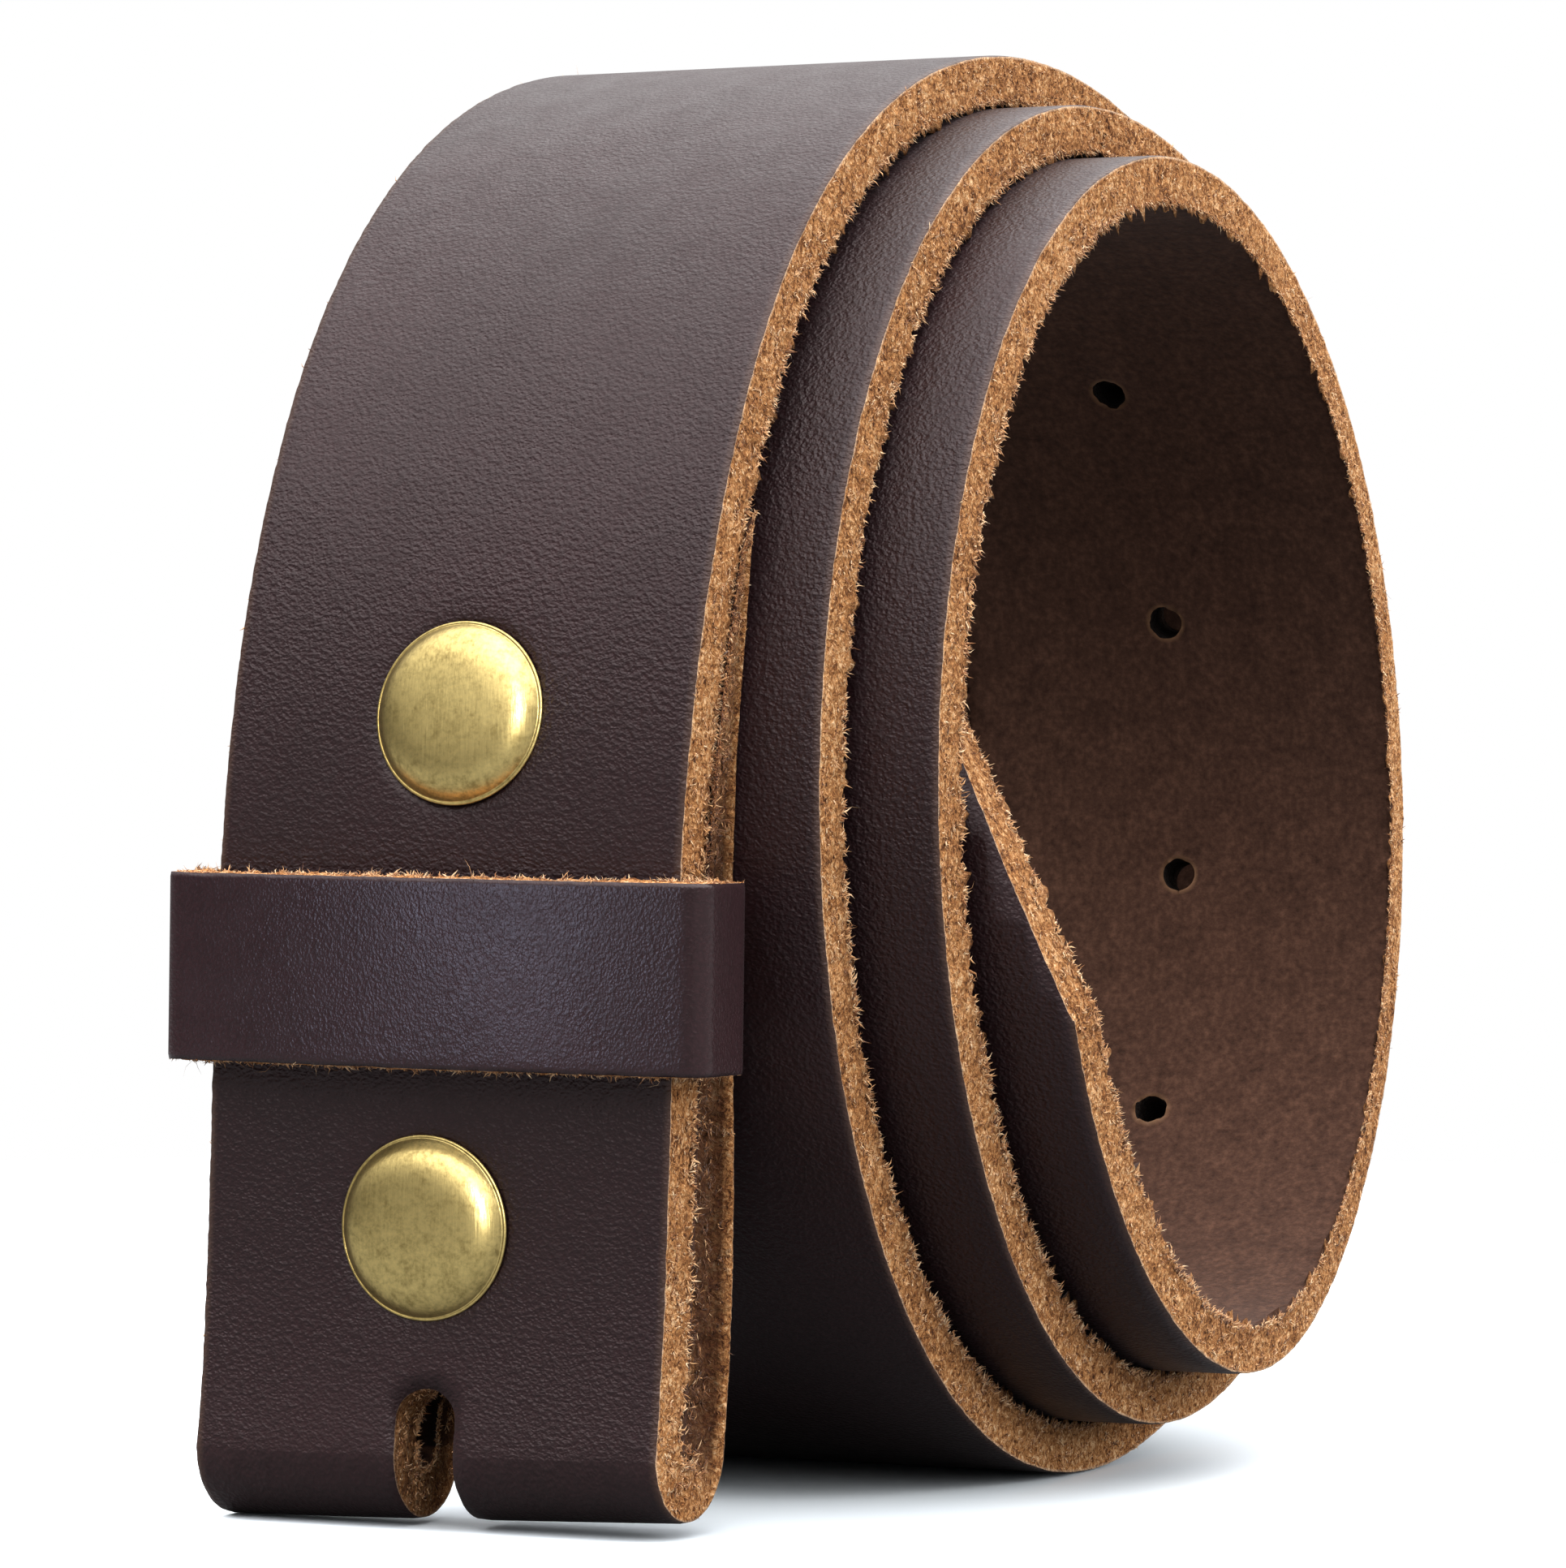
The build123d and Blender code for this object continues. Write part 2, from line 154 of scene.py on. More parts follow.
class Line:
    """Grain and flesh lines of a strip, with the distance along it."""

    def __init__(self, grain, flesh, half, flare):
        self.grain, self.flesh = grain, flesh
        self.half, self.flare = half, flare
        self.along = distances((grain + flesh) / 2)
        self.lifted = 0.0             # up to here the right side is lifted off the floor

    def at(self, line, s):
        """Points of a line at distance s, running straight on past its ends."""
        points = np.stack([np.interp(s, self.along, line[:, i]) for i in range(3)], -1)
        before = np.minimum(s, 0) / (self.along[1] - self.along[0])
        after = np.maximum(s - self.along[-1], 0) / (self.along[-1] - self.along[-2])
        return points + before[:, None] * (line[1] - line[0]) + after[:, None] * (line[-1] - line[-2])

    def place(self, s, u, depth, across):
        """Points at distance s along, u across and a share of the thickness deep."""
        grain = self.at(self.grain, s)
        flesh = self.at(self.flesh, s)
        wide = u * (1 + self.flare / self.half * depth)
        points = grain + (flesh - grain) * depth[:, None] + wide[:, None] * across
        to_right = np.clip((u / self.half + 1) / 2, 0, 1) ** 1.3
        low_down = np.clip(1 - points[:, 2] / FOLD_LIFT_HEIGHT, 0, 1) ** 2
        points[:, 2] += FOLD_LIFT * to_right * low_down * (s < self.lifted)
        return points


def strap_line():
    """The whole strap: flap downwards, hairpin fold, front layer upwards, coil and tip."""
    heights = np.arange(FLAP_TOP, FOLD_RADIUS, -0.4)
    flap_flesh = end_point(heights)
    flap_flesh = flap_flesh + np.array([FLAP_SIDE, STRAP_THICK, 0])
    flap_flesh[:, 1] += flap_profile(heights, GAP)
    flap_grain = flap_flesh.copy()
    flap_grain[:, 1] += flap_profile(heights, THICKNESS)
    turns = np.radians(np.arange(180, 0, -3.0))
    centre = end_at(FOLD_RADIUS)[0] + np.array([0, FOLD_RADIUS, 0])
    drift = np.stack([FLAP_SIDE * turns / pi, 0 * turns, 0 * turns], -1)
    spoke = np.stack([0 * turns, -np.cos(turns), -np.sin(turns)], -1)
    fold_grain = centre + drift + spoke * FOLD_RADIUS
    fold_flesh = centre + drift + spoke * (FOLD_GAP / 2)
    leave = coil_point(np.array([END_LEAVES_AT]))[0, 2]
    rise = np.arange(FOLD_RADIUS, leave, 0.4)
    front_grain = end_point(rise)
    front_flesh = front_grain + inward(end_slope(rise)) * STRAP_THICK
    angles = np.arange(END_LEAVES_AT, TIP_END_AT, 0.008)
    coil_grain = coil_point(angles)
    coil_flesh = coil_grain + inward(coil_slope(angles)) * STRAP_THICK
    grain = np.concatenate([flap_grain, fold_grain, front_grain, coil_grain])
    flesh = np.concatenate([flap_flesh, fold_flesh, front_flesh, coil_flesh])
    line = Line(grain, flesh, STRAP_WIDTH / 2, EDGE_FLARE)
    first = len(flap_grain) + len(fold_grain)
    last = first + len(front_grain)
    line.flap = (heights[::-1], line.along[: len(heights)][::-1])
    line.front = (rise, line.along[first:last])
    line.coil = (angles, line.along[last:])
    return line


strap = strap_line()


def along_flap(height):
    return float(np.interp(height, *strap.flap))


def along_front(height):
    return float(np.interp(height, *strap.front))


def along_coil(angle):
    return float(np.interp(angle, *strap.coil))


strap.lifted = along_front(FOLD_LIFT_HEIGHT)


# ---------------- noise for raw edges
def lattice(ix, iy, iz, seed):
    """A fixed value from -1 to 1 for each whole-numbered place."""
    h = ix * 73856093 ^ iy * 19349663 ^ iz * 83492791 ^ (seed * 1013904223)
    h = (h ^ (h >> 13)) * 1274126177
    h = h ^ (h >> 16)
    return (h & 0xFFFF) / 32767.5 - 1


def noise(points, scale, seed):
    """Smooth noise from -1 to 1 at points, with features about scale across."""
    p = np.asarray(points) / scale
    cell = np.floor(p).astype(np.int64)
    f = p - cell
    f = f * f * (3 - 2 * f)
    total = 0
    for dx in (0, 1):
        for dy in (0, 1):
            for dz in (0, 1):
                weight = (
                    (f[:, 0] if dx else 1 - f[:, 0])
                    * (f[:, 1] if dy else 1 - f[:, 1])
                    * (f[:, 2] if dz else 1 - f[:, 2])
                )
                total = total + weight * lattice(cell[:, 0] + dx, cell[:, 1] + dy, cell[:, 2] + dz, seed)
    return total


# ---------------- leather meshes
LEVELS = (0.03, 0.07, 0.15, 0.23, 0.31, 0.39, 0.47, 0.55, 0.63, 0.71, 0.79, 0.87, 0.94, 1.0)
GRAIN_LEVEL, FLESH_LEVEL = LEVELS[0], LEVELS[-1]
PUNCHED = 1
EDGE_LAY = 60                           # keeps the texture of cut edges clear of the faces'


def inside(points, loop):
    """Which points lie within a closed loop."""
    found = np.zeros(len(points), bool)
    a = loop
    b = np.roll(loop, -1, axis=0)
    for i in range(0, len(points), 2000):
        x = points[i : i + 2000, 0][:, None]
        y = points[i : i + 2000, 1][:, None]
        crosses = (a[:, 1] > y) != (b[:, 1] > y)
        rise = np.where(b[:, 1] == a[:, 1], 1e-12, b[:, 1] - a[:, 1])
        left = x < a[:, 0] + (y - a[:, 1]) / rise * (b[:, 0] - a[:, 0])
        found[i : i + 2000] = (crosses & left).sum(1) % 2 == 1
    return found


def run(start, end, step):
    """Points from start up to but not including end, about a step apart."""
    start, end = np.array(start, float), np.array(end, float)
    count = max(1, int(round(np.linalg.norm(end - start) / step)))
    return start + (end - start) * (np.arange(count) / count)[:, None]


def circle(centre, radius, count, turn=0.0):
    angles = turn + np.arange(count) / count * 2 * pi
    return np.array(centre) + radius * np.stack([np.cos(angles), np.sin(angles)], -1)


class Cut:
    """One closed loop of cut edge in the flat pattern, point by point.

    points: (s, u). seam: True where the leather runs on into the next piece. kind: 0 for a raw side,
    PUNCHED for a punched hole, and between them the painted shade inside the slot.
    """

    def __init__(self, points, seam, kind):
        self.points, self.seam, self.kind = points, seam, kind


def loop_of(*runs):
    """Joins (points, seam, kind) runs into one Cut."""
    points = np.concatenate([r[0] for r in runs])
    seam = np.concatenate([np.full(len(r[0]), r[1]) for r in runs])
    kind = np.concatenate([np.zeros(len(r[0])) + r[2] for r in runs])
    ahead = np.where(seam, 0, kind)
    return Cut(points, seam, np.maximum(ahead, np.roll(ahead, 1)))


def outward(cut):
    """Unit normals out of a counter-clockwise loop; at the ends of a seam, those of the cut edge."""
    ahead = np.roll(cut.points, -1, axis=0) - cut.points
    ahead = ahead / np.linalg.norm(ahead, axis=1)[:, None]
    behind = np.roll(ahead, 1, axis=0)
    seam_behind = np.roll(cut.seam, 1)
    use_ahead = ~(cut.seam & ~seam_behind)
    use_behind = ~(seam_behind & ~cut.seam)
    along = ahead * use_ahead[:, None] + behind * use_behind[:, None]
    along = along / np.linalg.norm(along, axis=1)[:, None]
    return np.stack([along[:, 1], -along[:, 0]], -1)


def no_swell(s, u):
    return 0 * s, 0 * s


def set_back(deep, recess):
    """How far a recessed side is set back at these depths: not at its grain corner, fully below it."""
    return np.clip((deep - 0.14) / 0.22, 0, 1) * recess


def flat_mesh(loops, inner):
    """Points and triangles of a flat pattern, and which point each given one became."""
    flat = np.concatenate(loops + [inner])
    edges = []
    for loop in loops:
        ids = np.arange(len(loop)) + len(edges)
        edges += list(zip(ids.tolist(), np.roll(ids, -1).tolist()))
    found = delaunay_2d_cdt([Vector(p) for p in flat], edges, [], 0, 1e-7)
    became = np.full(len(flat), -1)
    for i, ids in enumerate(found[3]):
        for k in ids:
            became[k] = i
    points = np.array([(v.x, v.y) for v in found[0]])
    tris = np.array(found[2])
    middle = points[tris].mean(1)
    keep = inside(middle, loops[0])
    for hole in loops[1:]:
        keep &= ~inside(middle, hole)
    tris = tris[keep]
    a, b, c = (points[tris[:, k]] for k in range(3))
    turn = np.cross(b - a, c - a)
    tris[turn < 0] = tris[turn < 0][:, ::-1]
    return points, tris, became


def ragged(here, level, fray, seed):
    """How far a cut edge stands out: waves, crumbs, and tufts that grow towards the flesh."""
    rough = fray * (0.35 + 0.65 * level)
    push = rough * (0.10 * noise(here, 2.4, seed) + 0.10 * noise(here, 0.9, seed + 1))
    push = push + fray * (0.11 * noise(here, 0.42, seed + 2) - 0.03)
    tuft = np.clip(noise(here, 0.7, seed + 3) - 0.25, 0, 1)
    return push + fray * tuft * (0.10 + 0.75 * max(0.0, level - 0.6))


def hanging(here, seed):
    """How far the fringe at the flesh corner reaches past it, as a share of the thickness."""
    reach = 0.06 * noise(here, 0.8, seed + 4) + 0.09 * noise(here, 0.36, seed + 7)
    return reach + 0.44 * np.clip(noise(here, 0.66, seed + 5) - 0.05, 0, 1)


def make_leather(name, line, across, cuts, inner, dents, materials, fray, seed, swell=no_swell):
    """Closed leather piece from a flat pattern: grain, flesh and ragged cut edges.

    Each dent is (s, u, face, profile), where face is 0 for grain and 1 for flesh, and profile gives how
    far the face is pushed at each distance from the centre. swell(s, u) gives how much thicker the piece
    grows and how far its sides are set back.
    """
    flat, tris, became = flat_mesh([cut.points for cut in cuts], inner)
    count = len(flat)
    thick = np.linalg.norm(line.at(line.flesh, flat[:, 0]) - line.at(line.grain, flat[:, 0]), axis=1)
    # one array for each face, grain then flesh, and then one for each level of each wall
    s, u, arc = ([flat[:, i].copy(), flat[:, i].copy()] for i in (0, 1, 0))
    depth = [np.zeros(count), 1 + swell(flat[:, 0], flat[:, 1])[0]]
    punched, shade = ([np.zeros(count), np.zeros(count)] for _ in range(2))
    for centre_s, centre_u, face, profile in dents:
        away = np.hypot(flat[:, 0] - centre_s, flat[:, 1] - centre_u)
        depth[face] = depth[face] + np.interp(away, profile[:, 0], profile[:, 1]) / thick
    walls = []
    start = 2 * count
    base = 0
    for number, cut in enumerate(cuts):
        size = len(cut.points)
        ring = became[base : base + size]
        base += size
        out = outward(cut) if number == 0 else -outward(cut)
        free = ~(cut.seam & np.roll(cut.seam, 1))
        length = distances(cut.points)
        is_punched = cut.kind == PUNCHED
        plain = np.where(is_punched, 0.35, 1.0)
        # painted shade: each point stores the slot's shade plus how far its side is set back, for the
        # materials to darken
        slot_shade = np.where(cut.kind < PUNCHED, cut.kind, 0)
        grown, recess = swell(cut.points[:, 0], cut.points[:, 1])
        columns = []
        for level in LEVELS:
            here = np.stack([cut.points[:, 0], cut.points[:, 1], np.full(size, level * STRAP_THICK)], -1)
            deep = level * (1 + grown)
            sunk = set_back(deep, recess) * (1 + 0.3 * noise(here, 0.5, seed + 8))
            push = (ragged(here, level, fray, seed) * plain - sunk) * free
            if level == FLESH_LEVEL:
                deep = deep + fray * hanging(here, seed) * free * plain
            elif level == GRAIN_LEVEL:
                deep = deep + 0.012 * fray * noise(here, 1.1, seed + 6) * free
                push = push * 0.35
            moved = cut.points + out * push[:, None]
            if level in (GRAIN_LEVEL, FLESH_LEVEL):
                face = int(level == FLESH_LEVEL)
                s[face][ring], u[face][ring] = moved[:, 0], moved[:, 1]
                depth[face][ring] = deep + (depth[face][ring] - face * (1 + grown))
                arc[face][ring] = length
                punched[face][ring] = is_punched
                shade[face][ring] = sunk + slot_shade
                columns.append(ring + face * count)
            else:
                for values, more in ((s, moved[:, 0]), (u, moved[:, 1]), (depth, deep), (arc, length)):
                    values.append(more)
                punched.append(is_punched.astype(float))
                shade.append(sunk + slot_shade)
                columns.append(np.arange(size) + start)
                start += size
        walls.append((columns, cut.seam))

    s, u, depth = (np.concatenate(v) for v in (s, u, depth))
    arc, punched, shade = (np.concatenate(v) for v in (arc, punched, shade))
    points = line.place(s, u, depth, across) * MM

    quads, sharp = [], []
    for number, (columns, seam) in enumerate(walls):
        corner = seam != np.roll(seam, 1)
        for upper, lower in zip(columns, columns[1:]):
            a, b, c, d = upper, np.roll(upper, -1), np.roll(lower, -1), lower
            quads.append(np.stack([b, a, d, c] if number == 0 else [a, b, c, d], -1))
            sharp.append(np.stack([a, d], -1)[corner])
        for ids in (columns[0], columns[-1]):
            sharp.append(np.stack([ids, np.roll(ids, -1)], -1)[seam])
    quads = np.concatenate(quads)
    corners = np.concatenate([tris.ravel(), (tris[:, ::-1] + count).ravel(), quads.ravel()])
    sizes = np.repeat([3, 4], [2 * len(tris), len(quads)])
    slot = np.repeat([0, 1, 2], [len(tris), len(tris), len(quads)])
    lay = np.where(
        (np.repeat(slot, sizes) < 2)[:, None],
        np.stack([s[corners], u[corners]], -1),
        np.stack([arc[corners], EDGE_LAY + depth[corners] * STRAP_THICK], -1),
    )
    mesh = bpy.data.meshes.new(name)
    fill_mesh(mesh, points, corners, sizes)
    mesh.polygons.foreach_set("material_index", slot.astype(np.int32))
    mesh.uv_layers.new(name="lay").data.foreach_set("uv", (lay * MM).astype(np.float32).ravel())
    for label, values in (("deep", depth), ("punched", punched), ("shade", shade)):
        point_values(mesh, label, values)
    mark_sharp(mesh, np.concatenate(sharp))
    turn_out(mesh, points, corners, sizes)
    return add_object(name, mesh, materials)


def add_object(name, data, materials=()):
    for material in materials:
        data.materials.append(material)
    obj = bpy.data.objects.new(name, data)
    bpy.context.scene.collection.objects.link(obj)
    return obj


def point_values(mesh, label, values):
    """Stores one number for each point, for the materials to read."""
    mesh.attributes.new(label, "FLOAT", "POINT").data.foreach_set("value", values.astype(np.float32))


def fill_mesh(mesh, points, corners, sizes):
    """Gives a mesh these points, and smooth faces from a flat list of corners and the faces' sizes."""
    mesh.vertices.add(len(points))
    mesh.vertices.foreach_set("co", points.astype(np.float32).ravel())
    mesh.loops.add(len(corners))
    mesh.loops.foreach_set("vertex_index", corners.astype(np.int32))
    mesh.polygons.add(len(sizes))
    starts = np.concatenate([[0], np.cumsum(sizes)[:-1]])
    mesh.polygons.foreach_set("loop_start", starts.astype(np.int32))
    mesh.update(calc_edges=True)
    mesh.polygons.foreach_set("use_smooth", np.ones(len(sizes), bool))


def turn_out(mesh, points, corners, sizes):
    """Flips a closed mesh whose faces look inwards."""
    starts = np.concatenate([[0], np.cumsum(sizes)[:-1]])
    a = points[corners[starts]]
    volume = 0.0
    for k in (1, 2):
        there = sizes > k + 1
        b = points[corners[(starts + k)[there]]]
        c = points[corners[(starts + k + 1)[there]]]
        volume += (a[there] * np.cross(b, c)).sum()
    if volume < 0:
        mesh.flip_normals()


def mark_sharp(mesh, pairs):
    """Keeps the shading apart on both sides of these edges."""
    wanted = {(min(a, b), max(a, b)) for a, b in pairs.tolist()}
    ends = np.zeros(len(mesh.edges) * 2, np.int32)
    mesh.edges.foreach_get("vertices", ends)
    flags = [(min(a, b), max(a, b)) in wanted for a, b in ends.reshape(-1, 2).tolist()]
    mesh.attributes.new("sharp_edge", "BOOLEAN", "EDGE").data.foreach_set("value", flags)


def grid(first, last, step, columns, avoid=()):
    """Inner points of a flat pattern, kept away from circles (s, u, radius)."""
    rows = int(round((last - first) / step))
    s = first + (np.arange(1, rows)) / rows * (last - first)
    s, u = np.meshgrid(s, columns, indexing="ij")
    return outside(np.stack([s.ravel(), u.ravel()], -1), avoid)


def outside(points, circles):
    for s, u, radius in circles:
        points = points[np.hypot(points[:, 0] - s, points[:, 1] - u) > radius]
    return points


COLUMNS = np.array([-18.6, -17.8, -16, -13.2, -10, -6.6, -3.3, 0, 3.3, 6.6, 10, 13.2, 16, 17.8, 18.6])
SIDE_STEP = 0.27
SEAM_STEP = STRAP_WIDTH / 30


def rings(centre, radii, count):
    """Circles of points, each turned by half a step from the one before."""
    return [circle(centre, r, count, 0.5 * (i % 2) * 2 * pi / count) for i, r in enumerate(radii)]


# ---------------- materials
class Nodes:
    """A node tree under construction."""

    def __init__(self, tree):
        self.tree = tree

    def feed(self, socket, value):
        if isinstance(value, bpy.types.NodeSocket):
            self.tree.links.new(value, socket)
        else:
            socket.default_value = value

    def node(self, kind, inputs=None, **settings):
        made = self.tree.nodes.new("ShaderNode" + kind)
        for key, value in settings.items():
            setattr(made, key, value)
        for key, value in (inputs or {}).items():
            self.feed(made.inputs[key], value)
        return made

    def scaled(self, vector, factors):
        return self.node("Mapping", {"Vector": vector, "Scale": factors}).outputs["Vector"]

    def noise(self, vector, scale, detail=3.0, rough=0.55, warp=0.0):
        made = self.node(
            "TexNoise",
            {"Vector": vector, "Scale": scale, "Detail": detail, "Roughness": rough, "Distortion": warp},
        )
        return made.outputs["Fac"]

    def cells(self, vector, scale, feature="F1", smooth=0.0):
        made = self.node("TexVoronoi", {"Vector": vector, "Scale": scale}, feature=feature)
        if feature == "SMOOTH_F1":
            made.inputs["Smoothness"].default_value = smooth
        return made.outputs["Distance"]

    def span(self, value, low, high, to_low=0.0, to_high=1.0):
        made = self.node(
            "MapRange",
            {"Value": value, "From Min": low, "From Max": high, "To Min": to_low, "To Max": to_high},
        )
        return made.outputs["Result"]

    def math(self, operation, first, second=0.5):
        return self.node("Math", {0: first, 1: second}, operation=operation).outputs[0]

    def sum(self, first, second, weight=1.0):
        return self.math("ADD", first, self.math("MULTIPLY", second, weight))

    def times(self, first, second):
        return self.math("MULTIPLY", first, second)

    def ramp(self, value, stops):
        made = self.node("ValToRGB", {"Fac": value})
        elements = made.color_ramp.elements
        while len(elements) < len(stops):
            elements.new(0.5)
        for element, (position, colour) in zip(elements, stops):
            element.position = position
            element.color = (*colour, 1.0)
        return made.outputs["Color"]

    def mix(self, share, first, second, mode="MIX"):
        colours = [c if isinstance(c, bpy.types.NodeSocket) else (*c, 1.0) for c in (first, second)]
        inputs = {0: share, 6: colours[0], 7: colours[1]}
        return self.node("Mix", inputs, data_type="RGBA", blend_type=mode).outputs[2]

    def bump(self, height, depth, strength=1.0):
        inputs = {"Height": height, "Distance": depth, "Strength": strength}
        return self.node("Bump", inputs).outputs["Normal"]


class Look(Nodes):
    """A material: its node tree, with the coordinates and point values its surface has."""

    def __init__(self, name):
        self.material = bpy.data.materials.new(name)
        self.material.use_nodes = True
        super().__init__(self.material.node_tree)
        self.shader = self.tree.nodes["Principled BSDF"]

    def lay(self):
        return self.node("UVMap", uv_map="lay").outputs["UV"]

    def place(self):
        return self.node("TexCoord").outputs["Object"]

    def attribute(self, name):
        return self.node("Attribute", attribute_name=name).outputs["Fac"]

    def finish(self, **values):
        """Feeds the shader's sockets, named with _ for each space, and gives the material."""
        for key, value in values.items():
            self.feed(self.shader.inputs[key.replace("_", " ")], value)
        return self.material


def grain_leather(name, pebble, tone, smoothest=0.37, roughest=0.52, relief=0.9):
    """Oiled full-grain leather: fine pebble, soft mottling, satin finish, and a painted highlight along the
    strap's rims.
    """
    look = Look(name)
    lay = look.lay()
    warp = look.node("TexNoise", {"Vector": lay, "Scale": 1500.0, "Detail": 1.0}).outputs["Color"]
    bent = look.node("VectorMath", {0: warp, 1: (0.00022, 0.00022, 0.0)}, operation="MULTIPLY").outputs[0]
    bent = look.node("VectorMath", {0: lay, 1: bent}, operation="ADD").outputs[0]
    bent = look.scaled(bent, (1.15, 0.9, 1.0))
    large = look.cells(bent, 2900.0 / pebble, "SMOOTH_F1", 0.5)
    small = look.cells(bent, 5400.0 / pebble, "SMOOTH_F1", 0.5)
    crumb = look.noise(lay, 9000.0, 3.0, 0.6)
    swell = look.noise(lay, 700.0, 2.0)
    strong = look.span(look.noise(lay, 60.0, 2.0), 0.35, 0.65, 0.6, 1.0)
    height = look.sum(look.sum(look.sum(large, small, 0.50), crumb, 0.18), swell, 0.16)
    height = look.times(height, strong)
    mottling = [(at, [c * share for c in tone]) for at, share in ((0.30, 0.82), (0.52, 1.0), (0.75, 1.22))]
    colour = look.ramp(look.noise(lay, 38.0, 5.0, 0.6, 0.6), mottling)
    valleys = look.span(large, 0.10, 0.75, 1.10, 0.66)
    grey = look.node("CombineXYZ", {0: valleys, 1: valleys, 2: valleys}).outputs[0]
    colour = look.mix(0.8, colour, grey, "MULTIPLY")
    specks = look.span(look.noise(lay, 2600.0, 2.0), 0.66, 0.80)
    colour = look.mix(look.times(specks, 0.25), colour, (0.045, 0.030, 0.026))
    rim = look.math("ABSOLUTE", look.node("SeparateXYZ", {0: lay}).outputs[1])
    # painted highlight: the grain turns lighter brown over its last 0.7 mm towards the strap's rims
    rim_highlight = look.span(rim, 0.0184, 0.01915)
    colour = look.mix(look.times(rim_highlight, 0.40), colour, (0.120, 0.066, 0.040))
    uneven = look.sum(look.noise(lay, 320.0, 3.0), large, 0.35)
    return look.finish(
        Base_Color=colour,
        Roughness=look.span(uneven, 0.35, 0.95, smoothest, roughest),
        Normal=look.bump(height, 0.00011, relief),
        Specular_IOR_Level=0.45,
        Specular_Tint=(1.0, 0.87, 0.88, 1.0),
        Sheen_Weight=0.02,
        Sheen_Roughness=0.45,
    )


def flesh_leather():
    """Suede flesh side: mottled dark brown nap, lighter round the holes, with painted shade in the slot and
    along the flap's set-back sides.
    """
    look = Look("flesh_side")
    lay = look.lay()
    blotch = look.noise(lay, 340.0, 4.0, 0.6, 0.3)
    fine = look.noise(lay, 1500.0, 5.0, 0.65)
    tones = ((0.34, (0.028, 0.0118, 0.007)), (0.50, (0.055, 0.0245, 0.015)), (0.66, (0.094, 0.044, 0.027)))
    colour = look.ramp(look.sum(look.times(blotch, 0.32), fine, 0.68), tones)
    colour = look.mix(look.times(look.attribute("punched"), 0.6), colour, (0.20, 0.105, 0.052))
    # painted shade: near black where the stored shade of the slot and the set-back sides is high
    colour = look.mix(look.span(look.attribute("shade"), 0.3, 0.8), colour, (0.008, 0.004, 0.003))
    height = look.sum(fine, look.noise(lay, 420.0, 4.0, 0.6), 0.8)
    return look.finish(
        Base_Color=colour,
        Roughness=0.92,
        Normal=look.bump(height, 0.00016, 0.7),
        Specular_IOR_Level=0.15,
        Sheen_Weight=0.04,
        Sheen_Roughness=0.55,
    )


def raw_edge(name, dim):
    """Raw cut edge: tan fibres and pits, a painted highlight along the grain corner, and painted shade where
    sunk, in the slot and in the punched holes.
    """
    look = Look(name)
    place = look.place()
    fibre = look.noise(place, 2100.0, 4.0, 0.72, 1.3)
    clump = look.noise(place, 900.0, 3.0, 0.6)
    value = look.sum(look.sum(look.times(fibre, 0.66), clump, 0.24), look.noise(place, 90.0, 2.0), 0.10)
    tans = (
        (0.39, (0.055, 0.017, 0.006)),
        (0.46, (0.280, 0.105, 0.032)),
        (0.54, (0.600, 0.280, 0.100)),
        (0.62, (0.920, 0.600, 0.330)),
    )
    colour = look.ramp(value, [(at, [c * dim for c in tan]) for at, tan in tans])
    deep = look.attribute("deep")
    for share, most, shade in (
        # painted highlight: a light line along the grain corner
        (look.span(deep, 0.030, 0.085, 1.0, 0.0), 0.55, (0.80, 0.58, 0.40)),
        (look.span(deep, 0.60, 1.05), 0.30, (0.200, 0.085, 0.034)),
        # painted shade where the sides are set back and in the slot
        (look.span(look.attribute("shade"), 0.0, 0.7), 0.86, (0.034, 0.010, 0.004)),
        # painted shade: near black in the punched holes
        (look.attribute("punched"), 0.985, (0.004, 0.002, 0.0015)),
    ):
        colour = look.mix(look.times(share, most), colour, shade)
    height = look.sum(fibre, look.cells(place, 2600.0), 0.7)
    return look.finish(
        Base_Color=colour,
        Roughness=0.88,
        Normal=look.bump(height, 0.00035, 1.0),
        Specular_IOR_Level=0.12,
        Sheen_Weight=0.02,
        Sheen_Roughness=0.5,
    )


def loose_fibre():
    """Loose tufts along the cut edges, each a little lighter or darker, and with painted shade where they
    stand in the set-back gap.
    """
    look = Look("loose_fibres")
    tones = (
        (0.0, (0.070, 0.024, 0.009)),
        (0.30, (0.300, 0.115, 0.038)),
        (0.62, (0.720, 0.385, 0.165)),
        (1.0, (0.950, 0.700, 0.430)),
    )
    speck = look.span(look.noise(look.place(), 5000.0, 2.0), 0.3, 0.7, 0.0, 0.35)
    return look.finish(
        # each tuft's stored value holds its own tone and its painted shade in the set-back gap
        Base_Color=look.mix(speck, look.ramp(look.attribute("tone_and_shade"), tones), (0.26, 0.11, 0.045)),
        Roughness=0.85,
        Specular_IOR_Level=0.25,
        Sheen_Weight=0.15,
        Sheen_Roughness=0.5,
    )


